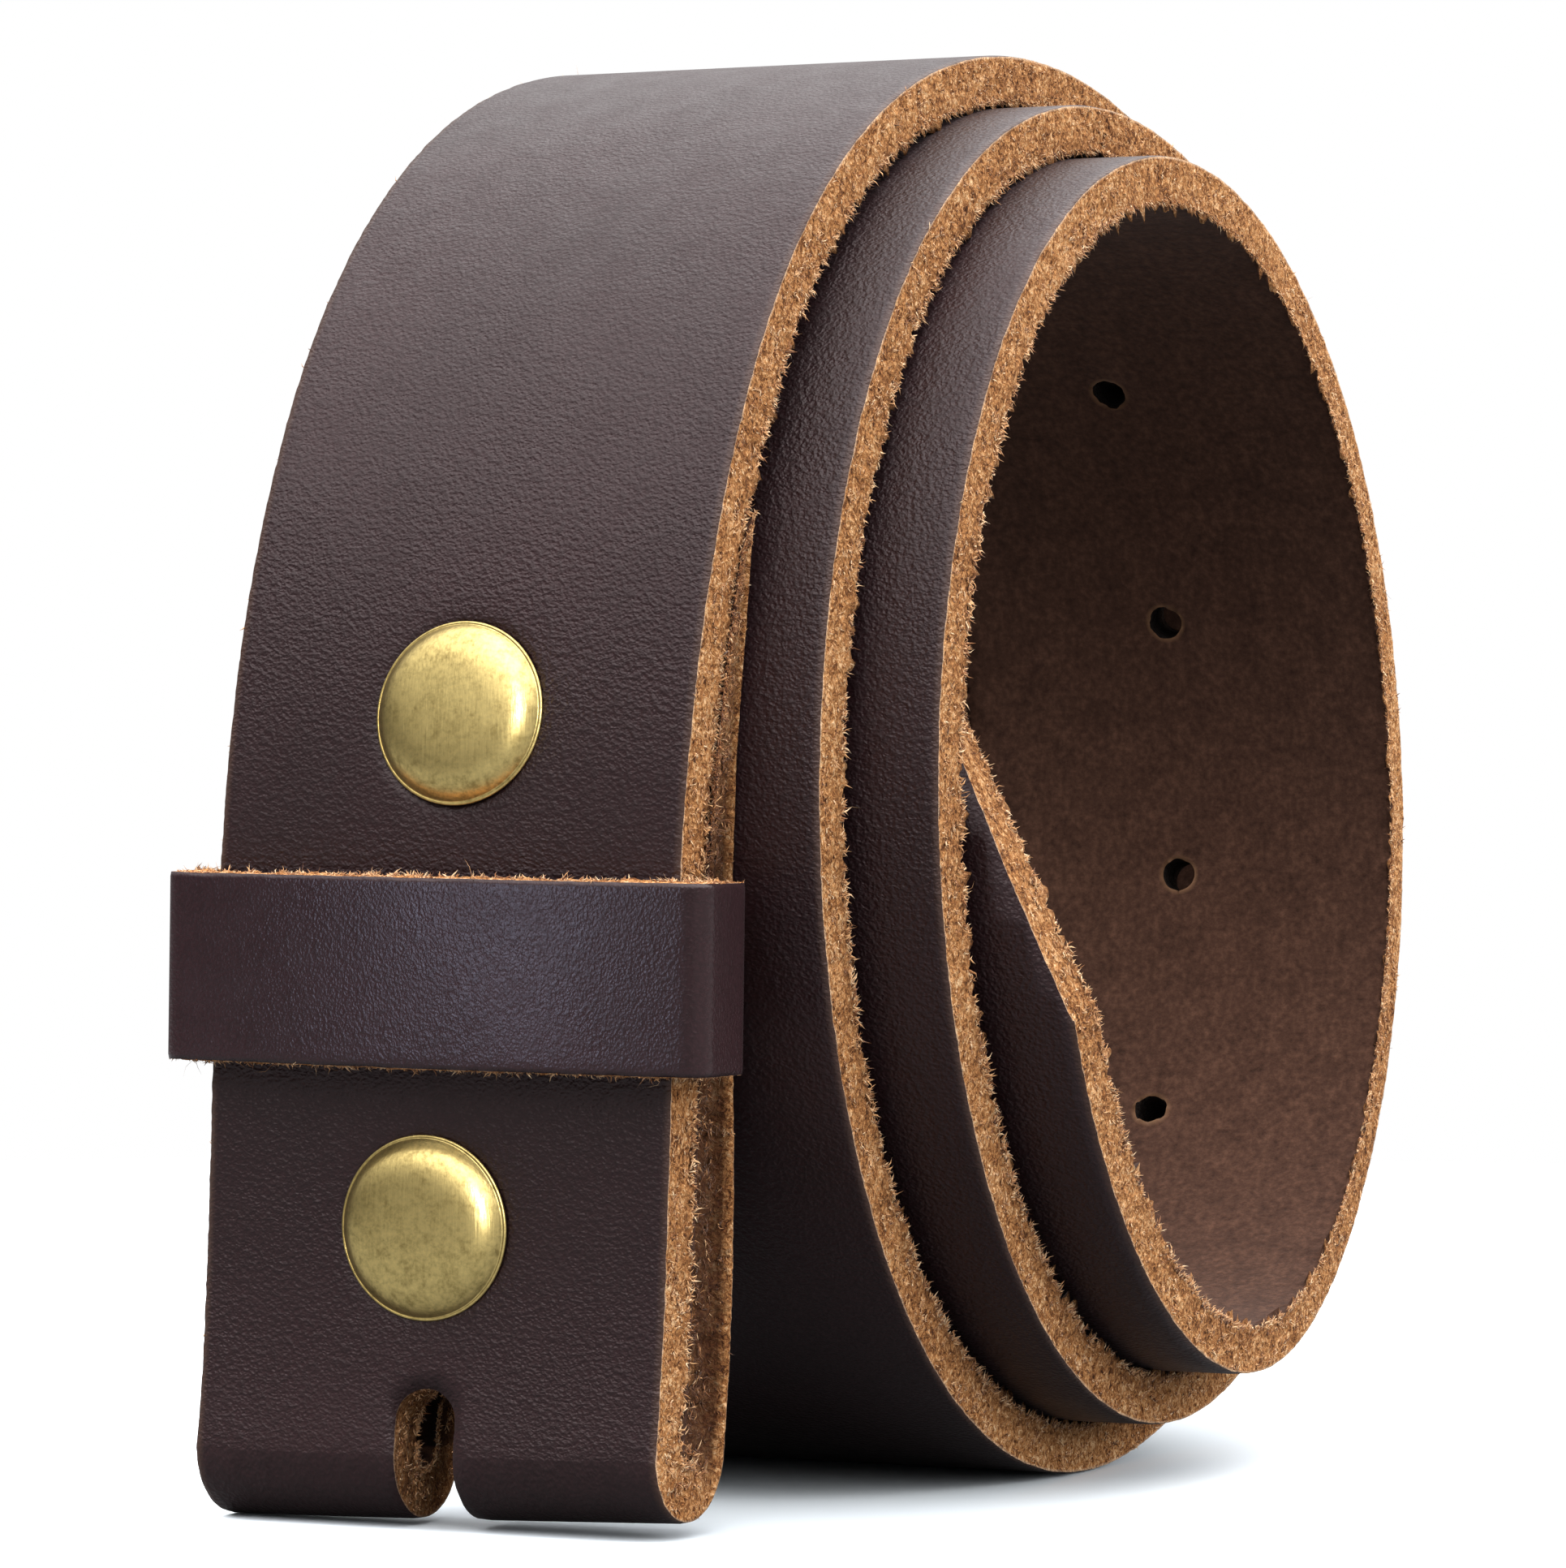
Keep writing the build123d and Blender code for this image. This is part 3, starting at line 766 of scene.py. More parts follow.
def antique_metal(name, colour, dark, smooth, rough):
    """Metal with patina in its hollows, mottling and fine scratches."""
    look = Look(name)
    place = look.place()
    patina = look.noise(place, 850.0, 6.0, 0.7, 0.3)
    grime = look.noise(place, 2600.0, 4.0, 0.6)
    scratches = []
    for spin, scale in ((0.35, 5200.0), (1.25, 6400.0), (-0.6, 4400.0)):
        inputs = {"Vector": place, "Rotation": (0.0, spin, 0.0), "Scale": (1.0, 1.0, 0.05)}
        scratches.append(look.noise(look.node("Mapping", inputs).outputs["Vector"], scale, 2.0, 0.5))
    brushed = look.sum(look.sum(scratches[0], scratches[1]), scratches[2])
    tone = look.sum(look.sum(look.times(patina, 0.50), grime, 0.34), brushed, 0.055)
    light = [min(1, c * 1.28) for c in colour]
    return look.finish(
        Base_Color=look.ramp(tone, ((0.38, dark), (0.52, colour), (0.66, light))),
        Roughness=look.span(tone, 0.35, 0.65, rough, smooth),
        Normal=look.bump(look.sum(brushed, grime, 0.6), 0.000014, 0.7),
        Metallic=1.0,
    )


grain = grain_leather("strap_grain", 1.0, (0.0170, 0.0052, 0.0062))
# the keeper's tone is lighter than the strap's: painted light standing in for the keeper's sheen
keeper_grain = grain_leather("keeper_grain", 0.72, (0.0225, 0.0088, 0.0105), 0.20, 0.30, 0.28)
flesh = flesh_leather()
cut_edge = raw_edge("strap_cut_edge", 0.80)
keeper_edge = raw_edge("keeper_cut_edge", 1.15)
fibres = loose_fibre()
cap_brass = antique_metal("antique_brass", (0.68, 0.520, 0.200), (0.38, 0.280, 0.098), 0.28, 0.40)
inner_brass = antique_metal("inner_brass", (0.58, 0.43, 0.19), (0.30, 0.21, 0.09), 0.28, 0.45)
steel = antique_metal("wire_steel", (0.52, 0.52, 0.51), (0.30, 0.29, 0.28), 0.25, 0.42)
leather = [grain, flesh, cut_edge]


# ---------------- strap pieces
NOTCH = SLOT_WIDTH / 2
STRAP_FRAY, STRAP_SEED = 1.0, 11


def slot_u(s):
    """Sideways place of the prong slot's middle in the flat pattern."""
    return SLOT_CENTRE - np.interp(s, strap.along, strap.grain[:, 0])


def side_run(first, last, u):
    return run((first, u), (last, u), SIDE_STEP), False, 0


def seam_run(s, u_first, u_last):
    return run((s, u_first), (s, u_last), SEAM_STEP), True, 0


def notch_run(seam_at, top_at):
    """Edge of the slot from the seam round its end and back to the seam."""
    sign = 1 if top_at > seam_at else -1
    bend = top_at - sign * NOTCH
    straight = run((seam_at, 0), (bend, 0), 0.4)[:, 0]
    turns = np.linspace(-pi / 2, pi / 2, 22)
    back = np.append(run((bend, 0), (seam_at, 0), 0.4)[1:, 0], seam_at)
    s = np.concatenate([straight, bend + sign * NOTCH * np.cos(turns), back])
    beside = np.concatenate([-1 + 0 * straight, np.sin(turns), 1 + 0 * back])
    whole = np.stack([s, slot_u(s) + sign * NOTCH * beside], -1)[::-1][:-1]
    # painted shade: the flap's slot walls above the fold get the darker shade
    inner_layer = (sign < 0) & (whole[:, 0] < along_flap(FOLD_RADIUS - 1.0))
    return whole, False, np.where(inner_layer, SLOT_SHADE_INSIDE, SLOT_SHADE)


def plain_cut(first, last):
    """Both raw sides and both seams of a plain stretch of the strap."""
    return loop_of(
        side_run(first, last, -HALF),
        seam_run(last, -HALF, HALF),
        side_run(last, first, HALF),
        seam_run(first, HALF, -HALF),
    )


def strap_piece(name, cuts, inner, dents=(), swell=no_swell):
    """A stretch of the strap. One seed for all of them makes their edges meet at the seams."""
    inner = np.concatenate(inner)
    return make_leather(name, strap, ACROSS, cuts, inner, dents, leather, STRAP_FRAY, STRAP_SEED, swell)


# where along the strap its pieces meet, and where the slot ends
seam_fold = along_front(FOLD_RADIUS)
seam_top = along_coil(0.50 * pi)
seam_holes = along_coil(4.50 * pi)
seam_tip = along_coil(5.45 * pi)
slot_front = along_front(SLOT_TOP)
slot_flap = along_flap(SLOT_TOP)
fold_u = float(slot_u(seam_fold))

# front layer: from the fold up over the hinge to the top of the coil
dents, inner, spots = [], [], []
for _, height, u0, press in SNAPS:
    s0 = along_front(height)
    profile = [(0, press + 0.3), (6.3, press + 0.3), (6.75, 0.16), (7.3, 0.09), (8.4, 0.03), (10.2, 0)]
    dents.append((s0, u0, 0, np.array(profile)))
    inner += rings((s0, u0), (3.0, 5.4, 6.3, 6.75, 7.05, 7.4, 7.9, 8.6, 9.6, 10.6), 48)
    spots.append((s0, u0, 11.2))
front_cut = loop_of(
    side_run(seam_fold, seam_top, -HALF),
    seam_run(seam_top, -HALF, HALF),
    side_run(seam_top, seam_fold, HALF),
    seam_run(seam_fold, HALF, fold_u + NOTCH),
    notch_run(seam_fold, slot_front),
    seam_run(seam_fold, fold_u - NOTCH, -HALF),
)


def clear_of_slot(points, first, last):
    """Drops the points in and close to the slot, which runs from first to last."""
    beside = np.abs(points[:, 1] - slot_u(points[:, 0])) > NOTCH + 0.45
    beyond = (points[:, 0] < first - 0.4) | (points[:, 0] > last + 0.4)
    return points[beside | beyond]


inner = np.concatenate([grid(seam_fold, seam_top, 0.9, COLUMNS, spots)] + inner)
inner = clear_of_slot(inner, seam_fold - 1, slot_front)
front_layer = strap_piece("front_layer", [front_cut], [inner], dents)

# hairpin fold and the thinned flap behind the front layer
FILL_WIDTH = 2.8
flap_top = along_flap(FOLD_RADIUS)


def flap_swell(s, u):
    """Fibres that stand up along the sides of the flap and fill the gap, and how far they are set back."""
    height = np.interp(s, strap.along, strap.grain[:, 2])
    gap, thick = flap_profile(height, GAP), flap_profile(height, THICKNESS)
    turn = np.clip((s - flap_top) / (seam_fold - flap_top), 0, 1)
    fill = np.interp(turn, (0, 0.25, 0.5, 0.75, 1), (1, 0.62, 0.38, 0.16, 0))
    fill = np.where(s < flap_top, (gap - 0.2) / thick, fill * 3.0 / STRAP_THICK)
    side = np.clip((np.abs(u) - HALF + FILL_WIDTH) / (FILL_WIDTH - 0.6), 0, 1)
    side = side * side * (3 - 2 * side)
    free_end = np.clip(s / 3.0, 0, 1)
    recess = np.interp(height, (0, 3, 8, 40, 52, 60), (0.0, 0.5, 1.3, 1.3, 0.6, 0.4))
    recess = recess * np.interp(turn, (0, 0.5, 0.85), (1, 0.8, 0)) * free_end
    return fill * side * free_end, recess * side


flap_cut = loop_of(
    side_run(0, seam_fold, -HALF),
    seam_run(seam_fold, -HALF, fold_u - NOTCH),
    notch_run(seam_fold, slot_flap),
    seam_run(seam_fold, fold_u + NOTCH, HALF),
    side_run(seam_fold, 0, HALF),
    (run((0, HALF), (0, -HALF), 0.5), False, 0),
)
dents = []
inner = [grid(0, seam_fold, 0.7, COLUMNS)]
for _, height, offset, _ in SNAPS:
    front, normal = end_at(height)
    reach = STRAP_THICK + flap_profile(height, GAP) + flap_profile(height, THICKNESS)
    eyelet = front + offset * ACROSS + normal * reach
    s0 = along_flap(eyelet[2])
    u0 = eyelet[0] - np.interp(s0, strap.along, strap.grain[:, 0])
    dents.append((s0, u0, 0, np.array([(0, 0.44), (4.5, 0.44), (4.9, 0.25), (5.6, 0.06), (7.0, 0)])))
    inner[0] = outside(inner[0], [(s0, u0, 7.4)])
    inner += rings((s0, u0), (1.5, 3.2, 4.4, 4.7, 5.0, 5.6, 6.3, 7.0), 36)
inner = clear_of_slot(np.concatenate(inner), slot_flap, seam_fold + 1)
fold_and_flap = strap_piece("fold_and_flap", [flap_cut], [inner], dents, flap_swell)

# two plain turns of the coil
coil_turns = strap_piece(
    "coil_turns", [plain_cut(seam_top, seam_holes)], [grid(seam_top, seam_holes, 1.15, COLUMNS)]
)


def hole_parts(angles):
    """Cuts, dished rims and mesh rings for the adjustment holes at these coil angles."""
    cuts, dents, points, spots = [], [], [], []
    for angle in angles:
        s0 = along_coil(angle)
        rim = circle((s0, 0), HOLE_RADIUS, 44)
        cuts.append(Cut(rim, np.zeros(44, bool), np.full(44, PUNCHED)))
        dents.append((s0, 0, 0, np.array([(1.45, 0.16), (2.0, 0.07), (3.2, 0)])))
        dents.append((s0, 0, 1, np.array([(1.5, -0.20), (2.2, -0.09), (3.6, 0)])))
        points += rings((s0, 0), (1.85, 2.2, 2.8, 3.6), 36)
        spots.append((s0, 0, 4.1))
    return cuts, dents, points, spots


# innermost turn with the adjustment holes
hole_cuts, dents, inner, spots = hole_parts(HOLE_ANGLES[:6])
punched_cut = plain_cut(seam_holes, seam_tip)
inner = [grid(seam_holes, seam_tip, 0.9, COLUMNS, spots)] + inner
punched_turn = strap_piece("punched_turn", [punched_cut] + hole_cuts, inner, dents)

# pointed tip
TIP_CENTRE = coil_point(np.array([6 * pi]))[0, 0]
tip_angles = np.linspace(5.85 * pi, TIP_END_AT - 0.01, 400)
tip_heights = coil_point(tip_angles)[:, 2]


def bow(a, b, c, step):
    """Points on the arc through three points, about a step apart."""
    a, b, c = (np.array(p, float) for p in (a, b, c))
    squares = np.array([p @ p for p in (a, b, c)])
    gaps = np.array([b - c, c - a, a - b])
    doubled = 2 * (a[0] * gaps[0, 1] + b[0] * gaps[1, 1] + c[0] * gaps[2, 1])
    centre = np.array([squares @ gaps[:, 1], -squares @ gaps[:, 0]]) / doubled
    radius = np.linalg.norm(a - centre)
    first, last = (np.arctan2(*(p - centre)[::-1]) for p in (a, c))
    last = first + (last - first + pi) % (2 * pi) - pi
    count = int(abs(last - first) * radius / step)
    angles = np.linspace(first, last, count)
    return centre + radius * np.stack([np.cos(angles), np.sin(angles)], -1)


side_bow = bow((19.45, 36.0), (11.4, 57.0), (2.4, 75.4), 0.36)
side_bow = side_bow[side_bow[:, 0] < HALF]
nose_bow = bow((2.4, 75.4), (0.0, 77.0), (-2.4, 75.4), 0.36)


def tip_pattern(across_up):
    """(sideways, height) points on the tip to (s, u) in the flat pattern."""
    s = np.array([along_coil(a) for a in np.interp(across_up[:, 1], tip_heights, tip_angles)])
    u = across_up[:, 0] + TIP_CENTRE - np.interp(s, strap.along, strap.grain[:, 0])
    return np.stack([s, u], -1)


mirror = np.array([-1.0, 1.0])
left_bow = tip_pattern(side_bow * mirror)
nose = tip_pattern(nose_bow[::-1][1:-1])
right_bow = tip_pattern(side_bow[::-1])
tip_cut = loop_of(
    side_run(seam_tip, left_bow[0, 0], -HALF),
    (left_bow, False, 0),
    (nose, False, 0),
    (right_bow, False, 0),
    side_run(right_bow[-1, 0], seam_tip, HALF),
    seam_run(seam_tip, HALF, -HALF),
)
hole_cuts, dents, inner, spots = hole_parts(HOLE_ANGLES[6:])
tip_grid = grid(seam_tip, float(nose[:, 0].max()), 0.9, COLUMNS, spots)
shrunk = tip_cut.points - 0.5 * outward(tip_cut)
tip_grid = tip_grid[inside(tip_grid, shrunk)]
strap_point = strap_piece("strap_point", [tip_cut] + hole_cuts, [tip_grid] + inner, dents)

# ---------------- keeper loop
KEEPER_HEIGHT = 41.0
KEEPER_HALF = 6.95
KEEPER_THICK = 1.8
KEEPER_TILT = radians(0.6)
KEEPER_SIDE = np.array([cos(KEEPER_TILT), 0, -sin(KEEPER_TILT)])
KEEPER_UP = np.array([sin(KEEPER_TILT), 0, cos(KEEPER_TILT)])
INNER_X, INNER_Y = 41.5 / 2, 4.5 / 2
OUTER_X, OUTER_Y = INNER_X + KEEPER_THICK - 0.12, INNER_Y + KEEPER_THICK
OUTER_CORNER, INNER_CORNER = 1.7, 0.6
FRONT_CROWN, CROWN_REACH = 1.05, 21.0
STRAP_MIDDLE = 1.8                      # from the front layer's grain to the middle of the loop
BUTT_JOINT = 0.075                      # half the gap between the strip's ends
KEEPER_FRAY, KEEPER_SEED = 0.75, 31


def rounded_loop(x, y, radius):
    """Box of half sizes x and y with round corners, from one side of the butt joint to the other."""
    points = [(BUTT_JOINT, y)]
    quarters = ((1, 1, 90, 0), (1, -1, 0, -90), (-1, -1, -90, -180), (-1, 1, 180, 90))
    for side, back, first, last in quarters:
        centre = np.array([side * (x - radius), back * (y - radius)])
        for angle in np.radians(np.linspace(first, last, 13)):
            points.append(tuple(centre + radius * np.array([cos(angle), sin(angle)])))
    points.append((-BUTT_JOINT, y))
    return np.array(points)


def keeper_line():
    """The keeper strip's grain and flesh lines, from its butt joint round the strap and back."""
    loops = rounded_loop(OUTER_X, OUTER_Y, OUTER_CORNER), rounded_loop(INNER_X, INNER_Y, INNER_CORNER)
    along = distances((loops[0] + loops[1]) / 2)
    fine = np.arange(0, along[-1] + 0.1, 0.25)
    origin = end_at(KEEPER_HEIGHT)[0] + np.array([0, STRAP_MIDDLE, 0])
    lines = []
    for loop in loops:
        x, y = (np.interp(fine, along, loop[:, i]) for i in (0, 1))
        y = y - FRONT_CROWN * np.clip(1 - (x / CROWN_REACH) ** 2, 0, 1) * (y < 0)
        lines.append(origin + x[:, None] * KEEPER_SIDE + y[:, None] * np.array([0, 1, 0]))
    return lines


keeper_strip = Line(*keeper_line(), KEEPER_HALF, 0.08)
keeper_end = keeper_strip.along[-1]
ends = [(0, -KEEPER_HALF), (keeper_end, -KEEPER_HALF), (keeper_end, KEEPER_HALF), (0, KEEPER_HALF)]
sides = zip(ends, ends[1:] + ends[:1], (0.3, 0.5, 0.3, 0.5))
keeper_cut = loop_of(*[(run(first, last, step), False, 0) for first, last, step in sides])
inner = grid(0, keeper_end, 0.32, (-6.6, -6.0, -5.0, -3.4, -1.7, 0, 1.7, 3.4, 5.0, 6.0, 6.6))
keeper_leather = [keeper_grain, flesh, keeper_edge]
keeper_band = make_leather(
    "keeper_band", keeper_strip, KEEPER_UP, [keeper_cut], inner, (), keeper_leather, KEEPER_FRAY, KEEPER_SEED
)


# ---------------- loose fibres on the raw edges
CLUMP = 5


def unit(vectors):
    return vectors / np.linalg.norm(vectors, axis=1)[:, None]


def make_fibres(name, line, across, cut, per_mm, long_share, seed, swell=no_swell):
    """Small tapered tufts in clumps, rooted in the cut edges, thickest along the flesh corner.

    Each is a three-sided stalk of two parts that ends in a point.
    """
    rng = np.random.default_rng(seed)
    steps = np.roll(cut.points, -1, axis=0) - cut.points
    weights = np.linalg.norm(steps, axis=1) * ~cut.seam
    count = int(weights.sum() * per_mm)
    clumps = max(1, count // CLUMP)
    pick = rng.choice(len(weights), clumps, p=weights / weights.sum())
    root = cut.points[pick] + steps[pick] * rng.random(clumps)[:, None]
    corner = rng.random(clumps) < 0.45
    level = np.where(corner, rng.uniform(0.92, 1.02, clumps), rng.uniform(0.10, 0.98, clumps))
    which = rng.integers(0, clumps, count)
    ahead = unit(steps[pick])[which]
    away = outward(cut)[pick][which]
    flat = root[which] + ahead * rng.normal(0, 0.14, count)[:, None]
    depth = np.clip(level[which] + rng.normal(0, 0.025, count), 0.06, 1.03)
    grown, recess = swell(flat[:, 0], flat[:, 1])
    depth = depth * (1 + grown)
    sunk = set_back(depth, recess)
    flat = flat - away * (0.05 + sunk)[:, None]

    def at(flat, depth):
        return line.place(flat[:, 0], flat[:, 1], depth, across)

    base = at(flat, depth)
    out3 = unit(at(flat + away * 0.5, depth) - base)
    side3 = unit(at(flat + ahead * 0.5, depth) - base)
    deep3 = unit(at(flat, depth + 0.1) - base)
    at_corner = corner[which]
    lean = rng.normal(0, 0.75, clumps)[which] + rng.normal(0, 0.5, count)
    rise = np.where(at_corner, rng.uniform(0.05, 0.75, count), rng.uniform(0.10, 0.45, count))
    dip = np.where(at_corner, rng.uniform(0.15, 1.1, count), rng.normal(0, 0.55, count))
    aim = unit(out3 * rise[:, None] + side3 * lean[:, None] + deep3 * dip[:, None])
    size = np.where(at_corner, rng.lognormal(-0.80, 0.36, count), rng.lognormal(-1.15, 0.35, count))
    size = size * (1 + 0.7 * sunk)
    thick = np.where(at_corner, rng.uniform(0.035, 0.105, count), rng.uniform(0.028, 0.075, count))
    long_one = rng.random(count) < long_share
    size = np.where(long_one, rng.uniform(0.8, 1.9, count), np.minimum(size, 0.95))
    thick = np.where(long_one, rng.uniform(0.012, 0.020, count), thick)
    curl = rng.normal(0, 0.28, (count, 3))
    first = unit(np.cross(aim, side3 + 0.3 * out3))
    second = np.cross(aim, first)
    points = []
    for centre, share in ((base - aim * 0.06, 1.0), (base + aim * size[:, None] * 0.55, 0.72)):
        for angle in (0, 2 * pi / 3, 4 * pi / 3):
            points.append(centre + (first * cos(angle) + second * sin(angle)) * (thick * share)[:, None])
    points.append(base + unit(aim + curl) * size[:, None])
    each = len(points)
    points = np.stack(points, 1).reshape(-1, 3) * MM
    faces = [(0, 2, 1)]
    for k, n in ((0, 1), (1, 2), (2, 0)):
        faces += [(k, n, 3 + n), (k, 3 + n, 3 + k), (3 + k, 3 + n, 6)]
    start = np.arange(count)[:, None] * each
    corners = np.concatenate([start + np.array([face]) for face in faces]).ravel()
    sizes = np.full(len(corners) // 3, 3)
    mesh = bpy.data.meshes.new(name)
    fill_mesh(mesh, points, corners, sizes)
    turn_out(mesh, points, corners, sizes)
    # painted shade: most tufts in the set-back gap are made darker, a few only slightly
    shade_share = np.where(rng.random(count) < 0.22, 0.10, 0.93)
    tone_and_shade = np.clip(rng.normal(0.52, 0.26, count), 0.02, 1) * (1 - shade_share * np.clip(sunk * 1.3, 0, 1))
    point_values(mesh, "tone_and_shade", np.repeat(tone_and_shade, each))
    return add_object(name, mesh, [fibres])


def strap_tufts(name, cut, *density_and_seed):
    return make_fibres(name, strap, ACROSS, cut, *density_and_seed)


front_tufts = strap_tufts("front_layer_tufts", front_cut, 55, 0.002, 101)
fold_tufts = strap_tufts("fold_and_flap_tufts", flap_cut, 62, 0.002, 102, flap_swell)
punched_tufts = strap_tufts("punched_turn_tufts", punched_cut, 42, 0.001, 104)
point_tufts = strap_tufts("strap_point_tufts", tip_cut, 42, 0.001, 105)
coil_tufts = []
COIL_PARTS = 4
for part in range(COIL_PARTS):
    stretch = [seam_top + (seam_holes - seam_top) * end / COIL_PARTS for end in (part, part + 1)]
    name = f"coil_turns_tufts_{part + 1}"
    coil_tufts.append(strap_tufts(name, plain_cut(*stretch), 40, 0.001, 110 + part))
keeper_tufts = make_fibres("keeper_band_tufts", keeper_strip, KEEPER_UP, keeper_cut, 26, 0.012, 106)


# ---------------- snap caps
CAP_RADIUS = 6.85
CAP_HEIGHT = 2.2
CAP_SIDES = 144


def cap_profile():
    """Radius and height along the cap from the middle of the dome over its shoulder to the rolled rim."""
    foot, low = 6.66, 0.36
    rise = CAP_HEIGHT - low
    shares = np.append(np.linspace(0, 0.7, 12)[:-1], np.linspace(0.7, 1, 20))
    points = [(share * foot, low + rise * (1 - 0.26 * share**2 - 0.74 * share**7)) for share in shares]
    bead = 0.15
    for angle in np.radians(np.linspace(108, -55, 12)):
        points.append((CAP_RADIUS - bead + bead * cos(angle), 0.25 + bead * sin(angle)))
    points.append((CAP_RADIUS - 0.9, 0.05))
    points.append((0.0, 0.05))
    return points


def make_cap(name, height, offset, press, seed):
    """Domed snap cap with a rolled rim and slight dents, standing on the grain side."""
    origin, into = end_at(height)
    normal = -into
    origin = origin + np.array([offset, 0, 0]) - normal * press
    up = np.cross(normal, ACROSS)
    (_, crown), *rows, (_, base) = cap_profile()
    points = [origin + normal * crown]
    for radius, level in rows:
        for angle in np.arange(CAP_SIDES) / CAP_SIDES * 2 * pi:
            points.append(origin + ACROSS * radius * cos(angle) + up * radius * sin(angle) + normal * level)
    points.append(origin + normal * base)
    points = np.array(points)
    local = points - origin
    dent = 0.020 * noise(local, 5.0, seed) + 0.005 * noise(local, 1.8, seed + 1)
    points = points + normal * (dent * np.clip(local @ normal / CAP_HEIGHT, 0, 1))[:, None]
    after = [(k, (k + 1) % CAP_SIDES) for k in range(CAP_SIDES)]
    faces = [(0, 1 + k, 1 + n) for k, n in after]
    for row in range(len(rows) - 1):
        a, b = 1 + row * CAP_SIDES, 1 + (row + 1) * CAP_SIDES
        faces += [(a + k, b + k, b + n, a + n) for k, n in after]
    last = 1 + (len(rows) - 1) * CAP_SIDES
    faces += [(last + n, last + k, last + CAP_SIDES) for k, n in after]
    corners, sizes = np.concatenate(faces), np.array([len(face) for face in faces])
    mesh = bpy.data.meshes.new(name)
    fill_mesh(mesh, points * MM, corners, sizes)
    turn_out(mesh, points * MM, corners, sizes)
    obj = add_object(name, mesh, [cap_brass])
    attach(obj, "end")
    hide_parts(name.replace("_dome", ""))
    return obj


caps = []
for index, (label, height, offset, press) in enumerate(SNAPS):
    caps.append(make_cap(f"{label}_snap_cap_dome", height, offset, press, 50 + 10 * index))

dressed = [("keeper_staple", steel)]
for label, *_ in SNAPS:
    dressed.append((f"{label}_snap_spring", steel))
    dressed += [(f"{label}_snap_{part}", inner_brass) for part in ("socket", "stud", "eyelet")]
for node, material in dressed:
    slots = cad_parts[node].data.materials
    slots.clear()
    slots.append(material)


# ---------------- what moves with what
def metres(point):
    return tuple(float(v) * MM for v in point)


def hinge_ends(line, hinge, reach):
    """The places on a line of the strap that far before and after the distance hinge."""
    return [metres(point) for point in strap.at(line, np.array([hinge - reach, hinge + reach]))]


SWING_REACH, FLEX_REACH, PEEL_REACH = 9, 6, 2.85
swing_start, swing_end = hinge_ends(strap.grain, along_coil(END_HINGE_AT), SWING_REACH)
flex_start, flex_end = hinge_ends(strap.flesh, along_coil(TIP_HINGE_AT), FLEX_REACH)
for obj in (front_layer, front_tufts):
    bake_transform(obj)
for obj in (fold_and_flap, fold_tufts):
    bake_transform(obj)
for obj in (coil_turns, punched_turn, punched_tufts, *coil_tufts):
    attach(obj, "coil")
for obj in (strap_point, point_tufts):
    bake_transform(obj)
for obj in (keeper_band, keeper_tufts):
    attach(obj, "keeper")

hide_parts("buckle_end")
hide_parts("folded_flap")
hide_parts("coiled_strap")
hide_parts("strap_hole_section")
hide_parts("strap_tip")
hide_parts("keeper_loop")


# ---------------- studio
FLOOR_REACH = 0.42


def table_material():
    """Pale table top that runs out into the white of the studio and throws little light back."""
    look = Look("white_table")
    grime = look.noise(look.place(), 25.0, 3.0)
    pale = look.ramp(grime, [(0.3, (0.88, 0.94, 1.0)), (0.7, (0.90, 0.96, 1.0))])
    seen = look.node("LightPath").outputs["Is Camera Ray"]
    look.finish(Base_Color=look.mix(seen, (0.13, 0.135, 0.14), pale), Roughness=0.7)
    reach = look.node("VectorMath", {0: look.place()}, operation="LENGTH").outputs["Value"]
    clear = look.node("BsdfTransparent").outputs["BSDF"]
    share = look.span(reach, 0.6 * FLOOR_REACH, FLOOR_REACH)
    blend = look.node("MixShader", {0: share, 1: look.shader.outputs["BSDF"], 2: clear}).outputs["Shader"]
    look.feed(look.tree.nodes["Material Output"].inputs["Surface"], blend)
    return look.material


FLOOR_DROP = 0.00005                    # keeps the table clear of the lowest fibres
floor_mesh = bpy.data.meshes.new("floor")
floor_mesh.from_pydata([(-1, -1, 0), (1, -1, 0), (1, 1, 0), (-1, 1, 0)], [], [(0, 1, 2, 3)])
floor = add_object("floor", floor_mesh, [table_material()])
floor.location.z = -FLOOR_DROP

# white behind the object, and a bright ceiling over a dimmer room in what the surfaces reflect
CEILING = (                             # height from straight down (0) to straight up (1), and brightness
    (0.0, 0.02), (0.47, 0.02), (0.51, 0.22), (0.58, 0.32),
    (0.70, 1.00), (0.82, 2.45), (0.93, 2.85), (1.0, 2.75),
)
TABLE_GLOW = 0.95                       # light from the white table on the right
TABLE_GLOSS = 0.30                      # what shines of the table elsewhere
world = bpy.data.worlds.new("studio")
world.use_nodes = True
bpy.context.scene.world = world
room = Nodes(world.node_tree)
rays = room.node("LightPath").outputs
aim = room.node("SeparateXYZ", {0: room.node("TexCoord").outputs["Generated"]}).outputs
ceiling = room.ramp(room.span(aim["Z"], -1.0, 1.0), [(height, [level] * 3) for height, level in CEILING])
below = room.span(aim["Z"], 0.03, -0.10)
right_side = room.span(aim["X"], 0.25, 0.70, 0.0, TABLE_GLOW)
glow = room.math("MAXIMUM", right_side, room.times(rays["Is Glossy Ray"], TABLE_GLOSS))
lit_room = room.times(ceiling, room.span(aim["X"], -0.75, -0.10, 0.55, 1.30))
total = room.math("ADD", lit_room, room.times(below, glow))
seen = room.node("Mix", {"Factor": rays["Is Camera Ray"], "A": total, "B": 1.0}).outputs["Result"]
background = room.tree.nodes["Background"]
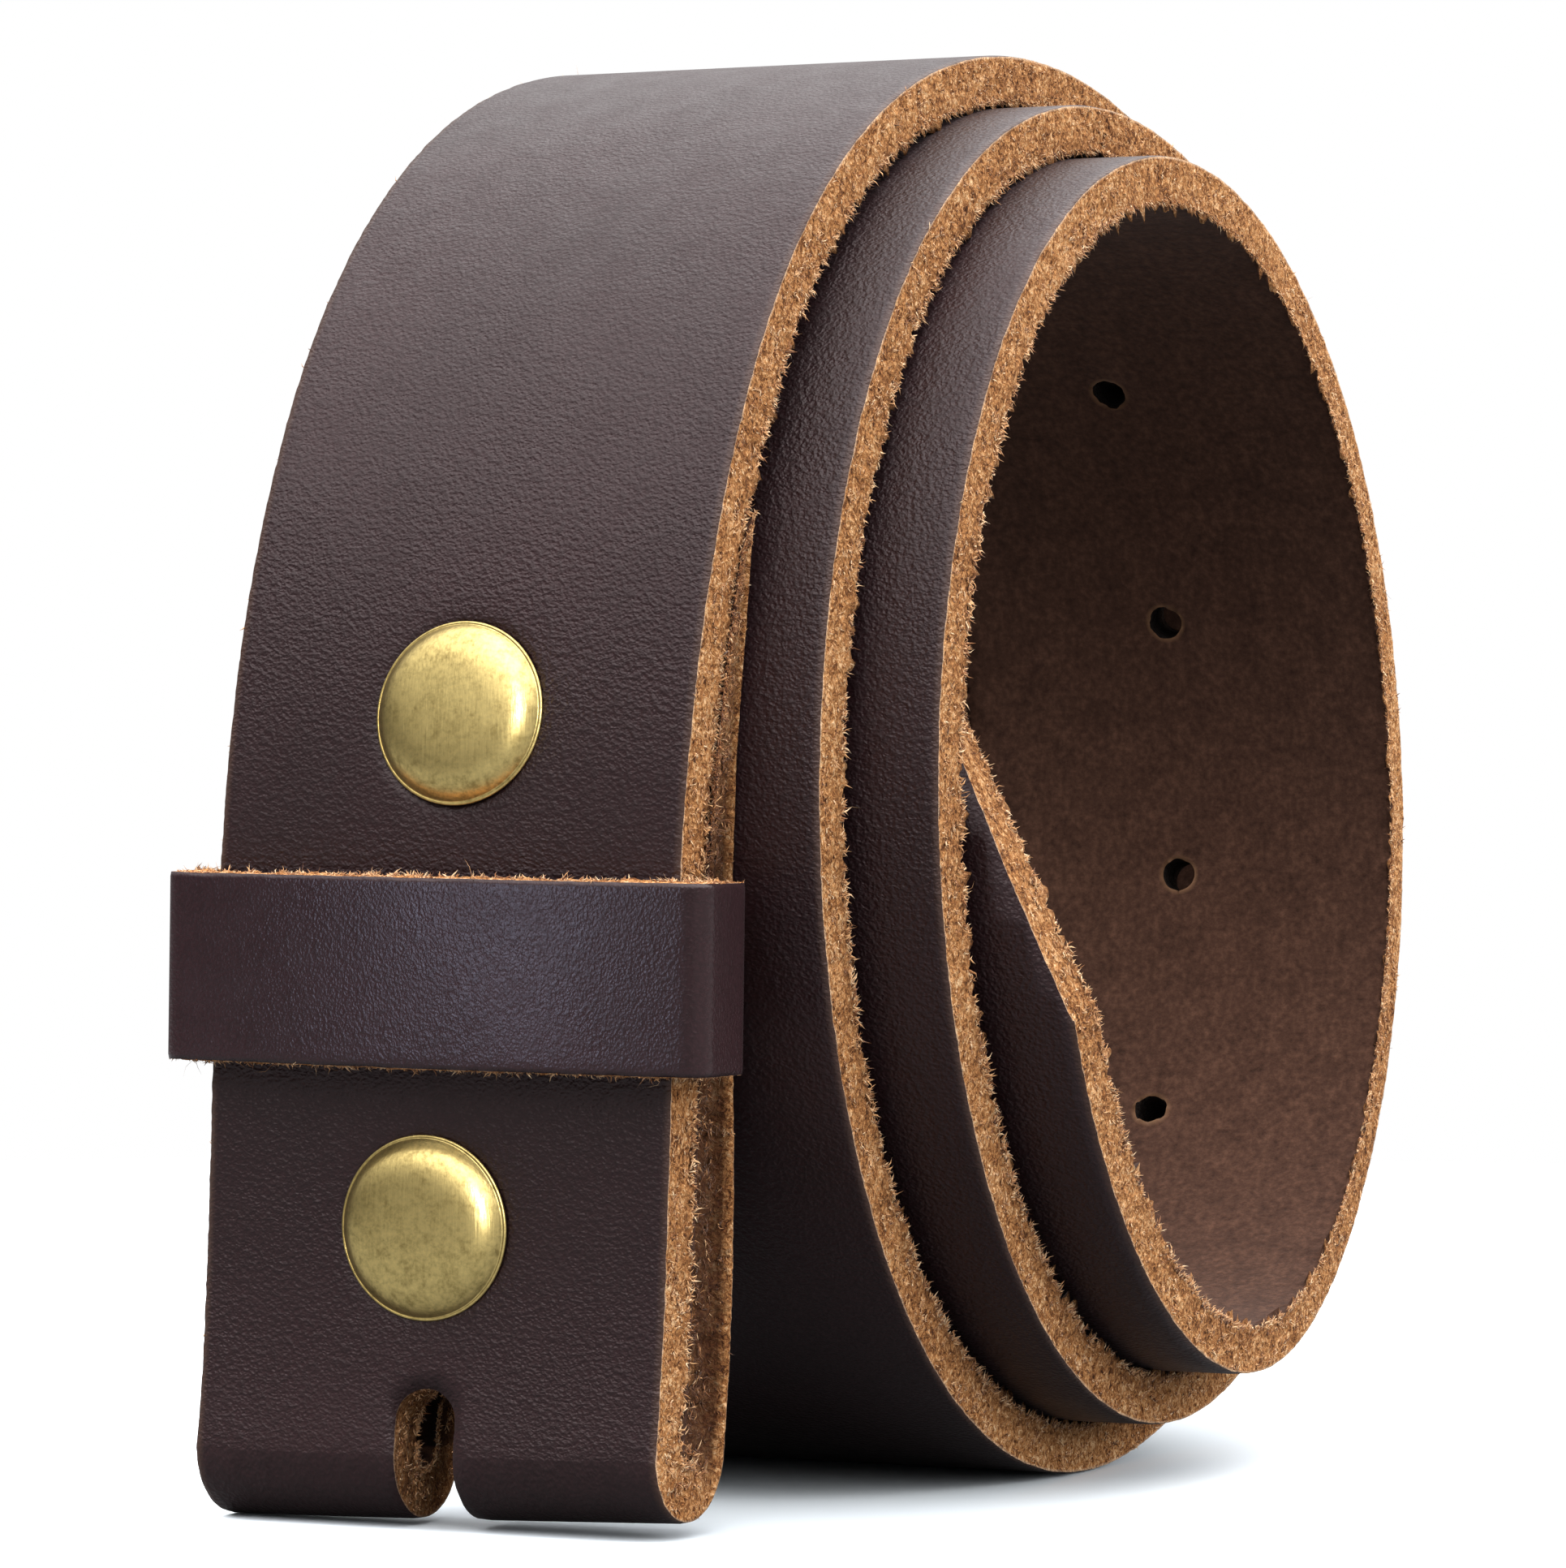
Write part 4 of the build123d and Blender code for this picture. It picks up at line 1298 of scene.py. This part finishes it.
room.feed(background.inputs["Color"], (1.0, 1.0, 1.0, 1.0))
room.feed(background.inputs["Strength"], seen)
bpy.context.scene.view_settings.view_transform = "Standard"
COIL_MIDDLE = Vector((0, 0, 0.056))


def out_of(azimuth, elevation):
    """Unit vector towards these angles in radians; azimuth 0 is in front, a right angle on the right."""
    flat = cos(elevation)
    return Vector((sin(azimuth) * flat, -cos(azimuth) * flat, sin(elevation)))


def softbox(name, azimuth, elevation, distance, size, power, colour=(1, 1, 1), mirrored=True, only=()):
    """Soft light aimed at the coil, or flagged on to a few pieces."""
    light = bpy.data.lights.new(name, "AREA")
    light.shape = "RECTANGLE"
    light.size, light.size_y = size
    light.energy = power
    light.color = colour
    back = out_of(radians(azimuth), radians(elevation))
    obj = add_object(name, light)
    obj.location = COIL_MIDDLE + back * distance
    obj.rotation_mode = "QUATERNION"
    obj.rotation_quaternion = back.to_track_quat("Z", "Y")
    obj.visible_glossy = mirrored
    if only:
        group = bpy.data.collections.new(name)
        for piece in only:
            group.objects.link(piece)
        obj.light_linking.receiver_collection = group


softbox("left_light", -75, 40, 0.9, (0.5, 0.5), 9.0, mirrored=False)
softbox("keeper_light", -17, 0, 0.20, (0.014, 0.05), 0.026, (0.62, 0.76, 1.0), only=(keeper_band,))
softbox("right_light", 33, 15, 0.9, (0.26, 0.36), 4.0, only=caps)
softbox("side_light", 100, 15, 0.9, (0.5, 0.5), 6.2, mirrored=False)

# ---------------- camera
AZIMUTH, ELEVATION, ROLL = radians(25.168), radians(0.110), radians(-0.201)
TARGET = Vector((-0.00997, -0.00049, 0.05476))
DISTANCE = 0.53424
SENSOR, LENS = 36.0, 150.366404         # millimetres
back = out_of(AZIMUTH, ELEVATION)
right = Vector((cos(AZIMUTH), sin(AZIMUTH), 0.0))
up = back.cross(right)
place = Matrix(
    (right * cos(ROLL) - up * sin(ROLL), right * sin(ROLL) + up * cos(ROLL), back)
).transposed().to_4x4()
place.translation = TARGET + back * DISTANCE
camera = bpy.data.cameras.new("camera")
camera.sensor_fit = "HORIZONTAL"
camera.sensor_width = SENSOR
camera.lens = LENS
camera.clip_start, camera.clip_end = 0.01, 50.0
camera_object = add_object("camera", camera)
camera_object.matrix_world = place
bpy.context.scene.camera = camera_object
